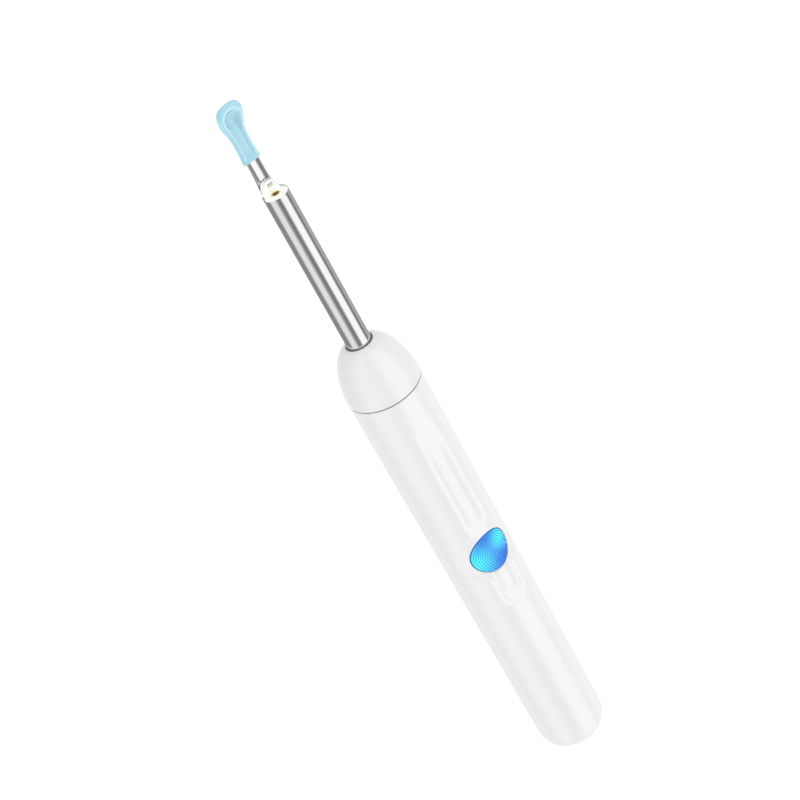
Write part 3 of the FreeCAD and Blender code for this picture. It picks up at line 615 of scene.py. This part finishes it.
def handle_skin():
    """The white handle with its finger groove, its dish, the hole for the button and the charging port."""
    deg = math.pi / 180
    angles = spaced((-180 * deg, 3 * deg), (-62 * deg, 0.7 * deg), (62 * deg, 3 * deg), (180 * deg, 1))[:-1]
    tail = TAIL_ROUND * (1 - np.cos(np.linspace(0, math.pi / 2, 17)))
    body = spaced((TAIL_ROUND, 3 * MM), (ROWS_Z[0], 0.16 * MM), (ROWS_Z[1], 0.6 * MM),
                  (ROWS_Z[2], 0.5 * MM), (SHELL_TOP - 0.12 * MM, 1))
    heights = np.concatenate([tail[:-1], body])
    a, z = np.meshgrid(angles, heights)
    outer = skin_point(a, z).reshape(-1, 3)
    cols = len(angles)
    verts = list(outer)
    faces = grid_faces(len(heights), cols)

    def add_ring(radius, height):
        verts.extend([(radius * math.sin(t), -radius * math.cos(t), height) for t in angles])
        base = len(verts) - 2 * cols
        faces.extend(grid_faces(2, cols, True, base))

    # over the rounded top edge, down the bore and round its bottom corner
    for radius, height in ((R - 0.04 * MM, SHELL_TOP - 0.03 * MM), (R - 0.12 * MM, SHELL_TOP),
                           (BORE_R, SHELL_TOP), (BORE_R, SHELL_TOP - 1 * MM), (BORE_R, ROWS_Z[2]),
                           (BORE_R, FLOOR_Z + 0.8 * MM), (BORE_R - 0.25 * MM, FLOOR_Z + 0.25 * MM),
                           (BORE_R - 0.8 * MM, FLOOR_Z)):
        add_ring(radius, height)
    count = len(verts)
    faces.append(tuple(range(count - cols, count)))
    faces.append(tuple(reversed(range(cols))))
    piece = new_piece("handle_skin", verts, faces, "pen", "white_shell", "body_shell")
    cut(piece, tool_prism(circle(HOLE_R, 128, 0, BUTTON_Z), -R - 2 * MM, -2 * MM, facing_front))
    port = obround(PORT_HIGH.x - PORT_LOW.x + PORT_GAP, PORT_HIGH.y - PORT_LOW.y + PORT_GAP)
    cut(piece, tool_prism(port, -2 * MM, FLOOR_Z + 1 * MM, lambda u, v, w: (u, v, w)))
    set_skin_normals(piece.data)
    return piece


def set_skin_normals(mesh):
    """Exact normals on the outside of the handle, so that the cuts leave no mark on its gloss."""
    count = len(mesh.vertices)
    co = np.empty(count * 3)
    mesh.vertices.foreach_get("co", co)
    co = co.reshape(-1, 3)
    angle = np.arctan2(co[:, 0], -co[:, 1])
    # the skin's own angle: x on the skin is what the depth was worked out from
    on_skin = skin_point(angle, co[:, 2])
    outside = np.abs(np.linalg.norm(on_skin[:, :2], axis=1) - np.linalg.norm(co[:, :2], axis=1)) < 0.01 * MM
    normal = skin_normal(angle, np.clip(co[:, 2], 1e-5, SHELL_TOP))
    loops = np.empty(len(mesh.loops), dtype=int)
    mesh.loops.foreach_get("vertex_index", loops)
    mesh.polygons.foreach_set("use_smooth", [True] * len(mesh.polygons))
    out = np.zeros((len(mesh.loops), 3))
    for poly in mesh.polygons:
        face_normal = np.array(poly.normal)
        for k in poly.loop_indices:
            v = loops[k]
            good = outside[v] and normal[v] @ face_normal > 0.7
            out[k] = normal[v] if good else face_normal
    mesh.normals_split_custom_set(out.tolist())


# ---- nose -----------------------------------------------------------------------------------------------
def lathe(name, outline, body, slot, replaced, count=160, sharp_deg=32):
    """Turns a closed outline of (radius, z) points about Z."""
    rows = len(outline)
    verts = [(r * math.cos(2 * math.pi * j / count), r * math.sin(2 * math.pi * j / count), z)
             for r, z in outline for j in range(count)]
    faces = grid_faces(rows, count)
    faces += [((rows - 1) * count + j, (rows - 1) * count + (j + 1) % count, (j + 1) % count, j)
              for j in range(count)]
    piece = new_piece(name, verts, faces, body, slot, *replaced)
    sharpen(piece, math.radians(sharp_deg))
    return piece


NOSE_LOW = SHELL_TOP + 0.2 * MM
SEAL_R = 2.38 * MM
NOSE_CENTRE_R = 1.75 * MM      # the dome's ellipse is centred this far off the axis
SEAL_SEAT_Z = 95.6 * MM
# the steps of the bore below the seal, as (radius, lower end)
NOSE_STEPS = ((2.15 * MM, 92.45 * MM), (3.0 * MM, 90.45 * MM), (3.65 * MM, 87.9 * MM),
              (4.0 * MM, 83.6 * MM))
SPIGOT_R = BORE_R - 0.05 * MM
O_RING_R = 4.55 * MM
O_RING_Z = (85.4 * MM, 86.5 * MM)


def nose_skin():
    """The domed nose: its dome, stepped bore, spigot with the o-ring's groove, and seam face."""
    half_w = R - NOSE_CENTRE_R
    half_h = (NOSE_HIGH - NOSE_LOW) / math.sqrt(1 - ((SEAL_R - NOSE_CENTRE_R) / half_w) ** 2)
    last = math.acos((SEAL_R + 0.08 * MM - NOSE_CENTRE_R) / half_w)
    dome = [(NOSE_CENTRE_R + half_w * math.cos(t), NOSE_LOW + half_h * math.sin(t))
            for t in np.linspace(0.012, last, 60)]
    bore = [(SEAL_R, NOSE_HIGH - 0.06 * MM), (SEAL_R, SEAL_SEAT_Z)]
    for radius, low_end in NOSE_STEPS:
        bore += [(radius, bore[-1][1]), (radius, low_end)]
    spigot = [(SPIGOT_R, bore[-1][1]), (SPIGOT_R, O_RING_Z[0]), (O_RING_R, O_RING_Z[0]),
              (O_RING_R, O_RING_Z[1]), (SPIGOT_R, O_RING_Z[1]), (SPIGOT_R, NOSE_LOW),
              (R - 0.10 * MM, NOSE_LOW), (R - 0.03 * MM, NOSE_LOW + 0.03 * MM)]
    return lathe("nose_skin", dome + bore + spigot, "pen", "white_nose", ["nose_cone"])


# ---- button ---------------------------------------------------------------------------------------------
CAP_R = 3.95 * MM
CAP_TOP = -BUTTON_LOW.y
RIDGE_PITCH = 0.41 * MM
RIDGE_DEEP = 0.045 * MM
LOOP_CORE = (0.15 * MM, 0.05 * MM)     # the innermost loop, from the button's centre
LOOP_LEAN = 0.34                       # how far the ridges below the core lean, per unit of height
LOOP_TALL = 1.12                       # the loops above the core are this much closer than beside it
SWIRL_CORE = (2.15 * MM, -1.25 * MM)
SWIRL_REACH = 1.25 * MM
SWIRL_PULL = 1.0
PAD_RINGS, PAD_SIDES = 89, 300
GAP_SHADE_VALUE = 1.9                    # marks the painted dark outline in the ridge attribute, the shade in the gap round the cap
FLANGE_R, FLANGE_Y = 4.6 * MM, (5.05 * MM, 4.65 * MM)
STEM_R, STEM_END_Y = 1.2 * MM, 3.57 * MM
FLANGE_FLAT_Y = 2.2 * MM               # the flange's bend comes no nearer the axis than this


def ridge_field(x, z):
    """A generic finger-pad pattern: loops round a line that hangs from the core, and a swirl beside it."""
    wobble = 0.09 * MM * math.sin(z / (1.1 * MM)) + 0.06 * MM * math.sin(x / (0.8 * MM) + 1)
    x_off, z_off = x - LOOP_CORE[0], z - LOOP_CORE[1]
    length = math.hypot(LOOP_LEAN, 1)
    along = (x_off * LOOP_LEAN - z_off) / length
    beside = (x_off + z_off * LOOP_LEAN) / length
    loops = math.hypot(beside, LOOP_TALL * min(along, 0))
    from_swirl = math.hypot(x - SWIRL_CORE[0], 0.8 * (z - SWIRL_CORE[1]))
    pull = math.exp(-(from_swirl / SWIRL_REACH) ** 2)
    return loops + wobble + SWIRL_PULL * pull * (SWIRL_REACH - from_swirl)


def pad_top(x, z, share):
    """The pad's y at (x, z) and its ridge value; share is 0 in the middle and 1 at the edge."""
    wave = 0.5 + 0.5 * math.cos(2 * math.pi * ridge_field(x, z) / RIDGE_PITCH)
    fade = float(1 - smoothstep(share, 0.92, 0.98))
    round_edge = 0.16 * MM * float(smoothstep(share, 0.90, 1.0)) ** 2
    radius = CAP_TOP - RIDGE_DEEP * (1 - wave) * fade - round_edge
    # the painted dark outline at the cap's edge
    edge = GAP_SHADE_VALUE * float(smoothstep(share, 0.955, 0.995))
    return -math.sqrt(max(radius * radius - x * x, 0)), (1 - wave) * fade + edge


def button_piece():
    """The pad with its ridges, then its side wall, flange and stem."""
    turns = [2 * math.pi * j / PAD_SIDES for j in range(PAD_SIDES)]
    middle_y, middle_ridge = pad_top(0.0, 0.0, 0.0)
    verts, ridge = [(0, middle_y, BUTTON_Z)], [middle_ridge]
    for share in np.linspace(0, 1, PAD_RINGS + 1)[1:]:
        for a in turns:
            x, z = CAP_R * share * math.cos(a), CAP_R * share * math.sin(a)
            y, value = pad_top(x, z, share)
            verts.append((x, y, BUTTON_Z + z))
            ridge.append(value)
    faces = [(0, 1 + j, 1 + (j + 1) % PAD_SIDES) for j in range(PAD_SIDES)]
    faces += grid_faces(PAD_RINGS, PAD_SIDES, True, 1)

    def add_ring(radius, value, depth_at):
        verts.extend([(radius * math.cos(a), -depth_at(radius * math.cos(a)),
                       BUTTON_Z + radius * math.sin(a)) for a in turns])
        ridge.extend([value] * PAD_SIDES)
        faces.extend(grid_faces(2, PAD_SIDES, True, len(verts) - 2 * PAD_SIDES))

    def bent(arc_r):
        return lambda x: math.sqrt(max(arc_r ** 2 - x * x, FLANGE_FLAT_Y ** 2))

    # the side wall, flange and stem are painted dark like the outline, for the shade in the gap
    for radius, arc_r in ((CAP_R, FLANGE_Y[0]), (FLANGE_R, FLANGE_Y[0]), (FLANGE_R, FLANGE_Y[1]),
                          (STEM_R, FLANGE_Y[1])):
        add_ring(radius, GAP_SHADE_VALUE, bent(arc_r))
    add_ring(STEM_R, 1.0, lambda x: STEM_END_Y)
    faces.append(tuple(range(len(verts) - PAD_SIDES, len(verts))))
    piece = new_piece("button_pad", verts, faces, "button", "button_blue", "button_cap")
    add_values(piece, ridge=ridge)
    sharpen(piece, math.radians(40))
    return piece


# ---- ear spoon ------------------------------------------------------------------------------------------
# (z, half width, centre y, half depth) up the sleeve and the bowl, in mm
SPOON_STATIONS = ((131.8, 1.58, 1.75, 0.71), (132.2, 1.55, 1.75, 0.72), (133.0, 1.47, 1.75, 0.74),
                  (134.6, 1.41, 1.75, 0.78), (135.9, 1.43, 1.75, 0.81), (136.9, 1.56, 1.71, 0.84),
                  (137.8, 1.84, 1.53, 0.84), (138.8, 2.11, 1.16, 0.84), (139.7, 2.22, 0.73, 0.82),
                  (140.3, 2.25, 0.40, 0.76), (140.9, 2.15, 0.13, 0.66), (141.4, 1.90, -0.07, 0.54),
                  (141.8, 1.46, -0.23, 0.38), (142.0, 0.94, -0.33, 0.22))
BOWL_Z = 139.5             # where the hollow is widest
SCOOP_REACH = 2.3          # from there to the rim line at the tip, at full share
TROUGH_FLAT, RIM_INSIDE = 0.28, 0.70   # share of the half width where the floor ends and the rim starts
RIM_CREST, RIM_HIGHLIGHT_W = 0.72, 0.05       # where the painted highlight line along the rim runs, and its width
WALL_SHADE_MID, WALL_SHADE_SPREAD = 0.52, 0.13     # the painted shade on the hollow's wall, left side only
GLINT_MID, GLINT_SPREAD = 0.05, 0.24     # the painted glint in the middle of the hollow's floor, standing for light through it
TROUGH_DEEP, BOWL_DEEP = 0.22, 0.95
TROUGH_START = (132.0, 133.0)          # the trough deepens over these heights
BOWL_START = (136.4, 139.0)            # and turns into the bowl over these
TIP_SHALLOW = 0.45         # share of the bowl's depth lost toward the tip
TIP_ASIDE = -0.2           # the soft tip leans this far to one side
TIP_BEND = (139.2, 142.0)
FRONT_SQUARE = 0.6         # how square the front half of a section is; 1 is an ellipse
MOUTH_ROUND = 0.12
SPOON_SIDES = 128
SOCKET_HALF, SOCKET_TOP_Z = (1.13, 0.17), 136.85
SOCKET_BEND_R = 1.97       # the socket is bent like the tongue inside it
SOCKET_SQUARE = 0.4


def smooth_curve(xs, ys, x):
    """Catmull-Rom through the stations."""
    i = int(np.clip(np.searchsorted(xs, x) - 1, 0, len(xs) - 2))

    def slope(k):
        lo, hi = max(k - 1, 0), min(k + 1, len(xs) - 1)
        return (ys[hi] - ys[lo]) / (xs[hi] - xs[lo])

    h = xs[i + 1] - xs[i]
    t = (x - xs[i]) / h
    a, b = slope(i) * h, slope(i + 1) * h
    return ((2 * t ** 3 - 3 * t ** 2 + 1) * ys[i] + (t ** 3 - 2 * t ** 2 + t) * a
            + (-2 * t ** 3 + 3 * t ** 2) * ys[i + 1] + (t ** 3 - t ** 2) * b)


def bell(x, middle, spread):
    return math.exp(-((x - middle) / spread) ** 2)


def spoon_section(z):
    """The spoon's outline at height z, as points and their (rim highlight, wall shade, floor glint) values
    of painted light; all in mm.
    """
    table = np.array(SPOON_STATIONS)
    heights = table[:, 0]
    half_w, centre_y, half_d = (smooth_curve(heights, table[:, k], z) for k in (1, 2, 3))
    lip = MOUTH_ROUND * (1 - math.sqrt(1 - max(1 - (z - heights[0]) / MOUTH_ROUND, 0) ** 2))
    half_w, half_d = half_w - lip, half_d - lip
    hollow_w = max(smooth_curve(heights, table[:, 1], min(z, BOWL_Z)), 0.02)
    past = max(z - BOWL_Z, 0) / SCOOP_REACH
    in_bowl = float(smoothstep(z, *BOWL_START))
    aside = TIP_ASIDE * float(smoothstep(z, *TIP_BEND))
    deep = TROUGH_DEEP * float(smoothstep(z, *TROUGH_START)) * (1 - in_bowl) + BOWL_DEEP * in_bowl
    deep *= 1 - TIP_SHALLOW * min(past / RIM_INSIDE, 1)
    points, values = [], []
    for j in range(SPOON_SIDES):
        t = 2 * math.pi * j / SPOON_SIDES
        x = half_w * math.cos(t)
        y = centre_y + half_d * math.sin(t)
        value = (0.0, 0.0, 0.0)
        if math.sin(t) < 0:
            share = math.hypot(x / hollow_w, past)
            y = centre_y - half_d * abs(math.sin(t)) ** FRONT_SQUARE
            y += deep * float(1 - smoothstep(share, TROUGH_FLAT, RIM_INSIDE))
            # painted light values: the rim's highlight line, the shade on the hollow's left wall and the
            # glint in the middle of its floor
            value = (bell(share, RIM_CREST, RIM_HIGHLIGHT_W) * float(smoothstep(z, 132.0, 132.6)),
                     bell(share, WALL_SHADE_MID, WALL_SHADE_SPREAD) * in_bowl * float(1 - smoothstep(x, -0.2, 0.9)),
                     bell(share, GLINT_MID, GLINT_SPREAD) * float(smoothstep(z, 132.4, 134.0)))
        points.append(((x + aside) * MM, y * MM, z * MM))
        values.append(value)
    return points, values


def socket_ring(z):
    """The rim of the bent slot that the tongue sits in."""
    half_w, half_d = SOCKET_HALF
    ring = []
    for j in range(SPOON_SIDES):
        t = 2 * math.pi * j / SPOON_SIDES
        c, s = math.cos(t), math.sin(t)
        x = half_w * math.copysign(abs(c) ** SOCKET_SQUARE, c)
        bow = math.sqrt(max(SOCKET_BEND_R ** 2 - x * x, 0))
        ring.append((x * MM, (bow + half_d * math.copysign(abs(s) ** SOCKET_SQUARE, s)) * MM, z * MM))
    return ring


def spoon_piece():
    """The silicone spoon: its skin from mouth to tip, and the socket that opens in its mouth."""
    low, tip = SPOON_STATIONS[0][0], SPOON_STATIONS[-1][0]
    neck, tip_round = 136.0, 0.6
    shoulder = tip - tip_round
    heights = np.concatenate([np.linspace(low, low + MOUTH_ROUND, 4)[:-1],
                              np.linspace(low + MOUTH_ROUND, neck, 24)[:-1],
                              np.linspace(neck, shoulder, 56)[:-1],
                              tip - (tip - shoulder) * (1 - np.linspace(0, 1, 22)) ** 2])
    verts, values = [], []
    for z in heights:
        points, marks = spoon_section(z)
        verts += points
        values += marks
    rows = len(heights)
    faces = grid_faces(rows, SPOON_SIDES)
    faces.append(tuple(range((rows - 1) * SPOON_SIDES, rows * SPOON_SIDES)))
    mouth = len(verts)
    end = mouth + SPOON_SIDES
    verts += socket_ring(low) + socket_ring(SOCKET_TOP_Z)
    for j in range(SPOON_SIDES):
        k = (j + 1) % SPOON_SIDES
        faces.append((j, mouth + j, mouth + k, k))
        faces.append((mouth + j, end + j, end + k, mouth + k))
    faces.append(tuple(range(end, end + SPOON_SIDES)))
    piece = new_piece("silicone_spoon", verts, faces, "ear_spoon", "spoon_silicone", "ear_spoon")
    rim, wall, thin = zip(*values)
    add_values(piece, rim=rim, wall=wall, thin=thin)
    sharpen(piece, math.radians(45))
    return piece


# ---- the tongue's foot ---------------------------------------------------------------------------------
TONGUE_HALF_W = 1.09 * MM
FLARE_EXTRA = 0.61 * MM        # how much wider each side of the tongue is at the camera face
FLARE_H = 3.3 * MM             # height over which the tongue narrows
CUT_EDGE_R = 0.055 * MM        # half thickness of the dark bead along the cut edge
FLARE_TOE = 0.45 * MM          # the last of it, where the edge runs out into the rim
TOE_REACH = 0.42 * MM
RESIN_R, SHADOW_R = 0.2 * MM, 0.035 * MM
RESIN_PATH_R = TUBE_R - 0.31 * MM      # both lie in the corner of the tube's bore
BOSS_ARCH = (0.22 * MM, RIM + 0.12 * MM, 1.84 * MM)     # x, z and radius of the resin's arch
SHADOW_ARCH_R = BOSS_ARCH[2] + 0.17 * MM
# (x, height over the camera face) round the cut along the boss's right side, in mm
BOSS_TRIM = ((1.98, 0.02), (1.85, 0.09), (1.70, 0.24), (1.41, 0.60), (1.22, 1.00), (1.12, 1.23),
             (1.02, 1.60), (0.96, 2.20), (3.0, 2.20), (3.0, 0.02))


def bead(name, path, radius, slot):
    """A round bead along a path, tapering to nothing at its ends."""
    points = [Vector(p) for p in path]
    count, sides, thinnest = len(points), 10, 0.02
    verts = []
    for i, point in enumerate(points):
        along = (points[min(i + 1, count - 1)] - points[max(i - 1, 0)]).normalized()
        outward = Vector((point.x, point.y, 0)).normalized()
        across = along.cross(outward).normalized()
        outward = across.cross(along)
        swell = radius * max(math.sqrt(max(1 - (2 * i / (count - 1) - 1) ** 6, 0)), thinnest)
        for j in range(sides):
            turn = 2 * math.pi * j / sides
            verts.append(point + (across * math.cos(turn) + outward * math.sin(turn)) * swell)
    faces = grid_faces(count, sides)
    faces.append(tuple(range(sides)))
    faces.append(tuple(range((count - 1) * sides, count * sides)))
    return new_piece(name, verts, faces, "pen", slot)


def on_tube(x, z, radius):
    """A point on the back half of a tube of that radius."""
    return (x, math.sqrt(max(radius ** 2 - x ** 2, 0.0)), z)


def guide_piece():
    """The light guide, with its boss trimmed along the flare of the tongue's right side."""
    solid = nodes["light_guide"]
    verts = [solid.matrix_world @ v.co for v in solid.data.vertices]
    piece = new_piece("milky_guide", verts, [tuple(p.vertices) for p in solid.data.polygons],
                      "pen", "clear_guide", "light_guide")
    trim = [(x * MM, RIM + rise * MM) for x, rise in BOSS_TRIM]
    cut(piece, tool_prism(trim, 0.5 * MM, 3.0 * MM, facing_front))
    sharpen(piece, math.radians(30))
    return piece


def cut_edge(name, side):
    """One flared edge of the tongue, drawn as a thin dark bead."""
    bend = (FLARE_H ** 2 + FLARE_EXTRA ** 2) / (2 * FLARE_EXTRA)
    path = []
    for share in np.linspace(0, 1, 40):
        rise = 1.2 * FLARE_H * (1 - share) ** 1.5
        inward = max(FLARE_H - rise, 0)
        half = TONGUE_HALF_W + bend - math.sqrt(bend ** 2 - inward ** 2)
        toe = max(1 - rise / FLARE_TOE, 0)
        half = min(half + TOE_REACH * toe ** 2.5, TUBE_R - CUT_EDGE_R)
        path.append(on_tube(side * half, RIM + rise, TUBE_R - CUT_EDGE_R))
    return bead(name, path, CUT_EDGE_R, "lead_black")


def arch_bead(name, arch_r, from_deg, to_deg, radius, slot):
    """A bead along an arch on the tube's bore, over the lamp boss."""
    x, z, _ = BOSS_ARCH
    turns = [math.radians(d) for d in np.linspace(from_deg, to_deg, 24)]
    path = [on_tube(x + arch_r * math.cos(t), z + arch_r * math.sin(t), RESIN_PATH_R) for t in turns]
    return bead(name, path, radius, slot)


def tongue_foot():
    """Edges of the tongue, the resin beside the lamp boss and the dark line over it."""
    cut_edge("cut_edge_right", 1)
    cut_edge("cut_edge_left", -1)
    arch_bead("boss_resin", BOSS_ARCH[2], 100, 178, RESIN_R, "clear_guide")
    arch_bead("boss_shadow_line", SHADOW_ARCH_R, 72, 160, SHADOW_R, "lead_black")


handle_skin()
nose_skin()
button_piece()
spoon_piece()
guide_piece()
tongue_foot()

# ---- camera ----------------------------------------------------------------------------------------------
VIEW_TURN = math.radians(22)       # the button points this far to the right of the camera
VIEW_TILT = math.radians(33.09)    # the camera looks down on the pen by this much
VIEW_ROLL = math.radians(29.2)     # the pen's tip leans to the upper left
VIEW_DISTANCE = 40.19 * R
AIM_Z = 12.872 * R
AIM_SIDE = 0.1775 * R
LENS_MM, SENSOR_MM = 72.7, 36


def add_camera():
    data = bpy.data.cameras.new("camera")
    data.lens, data.sensor_width = LENS_MM, SENSOR_MM
    data.clip_start, data.clip_end = 0.01, 20
    camera = bpy.data.objects.new("camera", data)
    bpy.context.scene.collection.objects.link(camera)
    look = Vector((math.sin(VIEW_TURN) * math.cos(VIEW_TILT), math.cos(VIEW_TURN) * math.cos(VIEW_TILT),
                   -math.sin(VIEW_TILT)))
    right = Vector((math.cos(VIEW_TURN), -math.sin(VIEW_TURN), 0))
    up = right.cross(look)
    place = Vector((0, 0, AIM_Z)) - look * VIEW_DISTANCE + right * AIM_SIDE
    c, s = math.cos(VIEW_ROLL), math.sin(VIEW_ROLL)
    turned_right, turned_up = right * c - up * s, right * s + up * c
    axes = Matrix((turned_right, turned_up, -look)).transposed().to_4x4()
    camera.matrix_world = Matrix.Translation(place) @ axes
    bpy.context.scene.camera = camera
    return right, -look


# ---- light and floor -----------------------------------------------------------------------------------
# cards round the pen, seen only in its gloss: (from, to, brightness), in degrees from the camera's side
CARDS = ((-76, -31, 0.92), (-17, 8, 0.23), (17, 70, 1.16), (79, 98, 0.22), (-108, -90, 0.26))
CARD_REST = 0.46                   # brightness between the cards
CARD_SOFT = 7.0                    # width of a card's soft edge, in degrees
TENT_LIGHT = 1.0                   # even white light on everything else
SOFTBOX_TURN = math.radians(45)    # soft light from the viewer's right
SOFTBOX_TILT = math.radians(35)
SOFTBOX_SPREAD = math.radians(50)
SOFTBOX_LIGHT = 0.32
FLOOR_DROP = 0.12                  # how far under the pen the floor is
FLOOR_HALF = 6.0
FLOOR_GLOW = 0.12


def add_world(right):
    world = bpy.data.worlds.new("studio")
    bpy.context.scene.world = world
    world.use_nodes = True
    tree = world.node_tree
    tree.nodes.clear()

    def node(kind, **settings):
        made = tree.nodes.new(kind)
        for key, value in settings.items():
            setattr(made, key, value)
        return made

    def math_node(operation, a, b):
        made = node("ShaderNodeMath", operation=operation)
        for socket, value in zip(made.inputs, (a, b)):
            if isinstance(value, bpy.types.NodeSocket):
                tree.links.new(value, socket)
            else:
                socket.default_value = value
        return made.outputs[0]

    direction = node("ShaderNodeTexCoord").outputs["Generated"]
    parts = node("ShaderNodeSeparateXYZ")
    tree.links.new(direction, parts.inputs[0])
    x, y = parts.outputs[0], parts.outputs[1]
    side = math_node("ADD", math_node("MULTIPLY", x, right.x), math_node("MULTIPLY", y, right.y))
    front = math_node("ADD", math_node("MULTIPLY", x, right.y), math_node("MULTIPLY", y, -right.x))
    turn = math_node("ARCTAN2", side, front)
    share = math_node("ADD", math_node("DIVIDE", turn, 2 * math.pi), 0.5)
    ramp = node("ShaderNodeValToRGB")
    tree.links.new(share, ramp.inputs[0])
    stops = [(-180.0, CARD_REST)]
    for low, high, level in sorted(CARDS):
        if low - CARD_SOFT / 2 > stops[-1][0] + 1:
            if len(stops) > 1 and low - stops[-1][0] > 12:
                stops.append((stops[-1][0] + CARD_SOFT, CARD_REST))
                stops.append((low - CARD_SOFT / 2, CARD_REST))
        stops.append((low + CARD_SOFT / 2, level))
        stops.append((high - CARD_SOFT / 2, level))
    stops.append((stops[-1][0] + CARD_SOFT, CARD_REST))
    stops.append((180.0, CARD_REST))
    band = ramp.color_ramp
    while len(band.elements) < len(stops):
        band.elements.new(0.5)
    for element, (degrees, level) in zip(band.elements, stops):
        element.position = degrees / 360 + 0.5
        element.color = (level, level, level, 1)
    cards = node("ShaderNodeBackground")
    tree.links.new(ramp.outputs[0], cards.inputs["Color"])
    cards.inputs["Strength"].default_value = 1.0
    tent = node("ShaderNodeBackground")
    tent.inputs["Color"].default_value = (1, 1, 1, 1)
    tent.inputs["Strength"].default_value = TENT_LIGHT
    mix = node("ShaderNodeMixShader")
    tree.links.new(node("ShaderNodeLightPath").outputs["Is Glossy Ray"], mix.inputs[0])
    tree.links.new(tent.outputs[0], mix.inputs[1])
    tree.links.new(cards.outputs[0], mix.inputs[2])
    tree.links.new(mix.outputs[0], node("ShaderNodeOutputWorld").inputs[0])


def add_floor():
    """A plain pale sweep well below the pen, left out of its reflections."""
    s = Shader("floor")
    cloud = s.noise(400.0, 2)
    s.set(Base_Color=s.blend(cloud, (0.96, 0.96, 0.96), (0.98, 0.98, 0.98)), Roughness=0.9)
    s.bsdf.inputs["Emission Color"].default_value = (1, 1, 1, 1)
    s.bsdf.inputs["Emission Strength"].default_value = FLOOR_GLOW
    h = FLOOR_HALF
    mesh = bpy.data.meshes.new("floor")
    corners = [(x, y, -FLOOR_DROP) for x, y in ((-h, -h), (h, -h), (h, h), (-h, h))]
    mesh.from_pydata(corners, [], [(0, 1, 2, 3)])
    mesh.materials.append(s.mat)
    floor = bpy.data.objects.new("floor", mesh)
    bpy.context.scene.collection.objects.link(floor)
    floor.visible_glossy = False


def add_softbox(right):
    """A broad, weak light from the right that shades the white plastic."""
    lamp = bpy.data.lights.new("softbox", "SUN")
    lamp.energy, lamp.angle = SOFTBOX_LIGHT, SOFTBOX_SPREAD
    box = bpy.data.objects.new("softbox", lamp)
    bpy.context.scene.collection.objects.link(box)
    front = Vector((right.y, -right.x, 0))
    flat = right * math.sin(SOFTBOX_TURN) + front * math.cos(SOFTBOX_TURN)
    toward = flat * math.cos(SOFTBOX_TILT) + Vector((0, 0, 1)) * math.sin(SOFTBOX_TILT)
    box.rotation_euler = toward.to_track_quat("Z", "Y").to_euler()
    box.visible_glossy = False


bpy.context.scene.view_settings.view_transform = "Standard"
view_right, _ = add_camera()
add_world(view_right)
add_softbox(view_right)
add_floor()
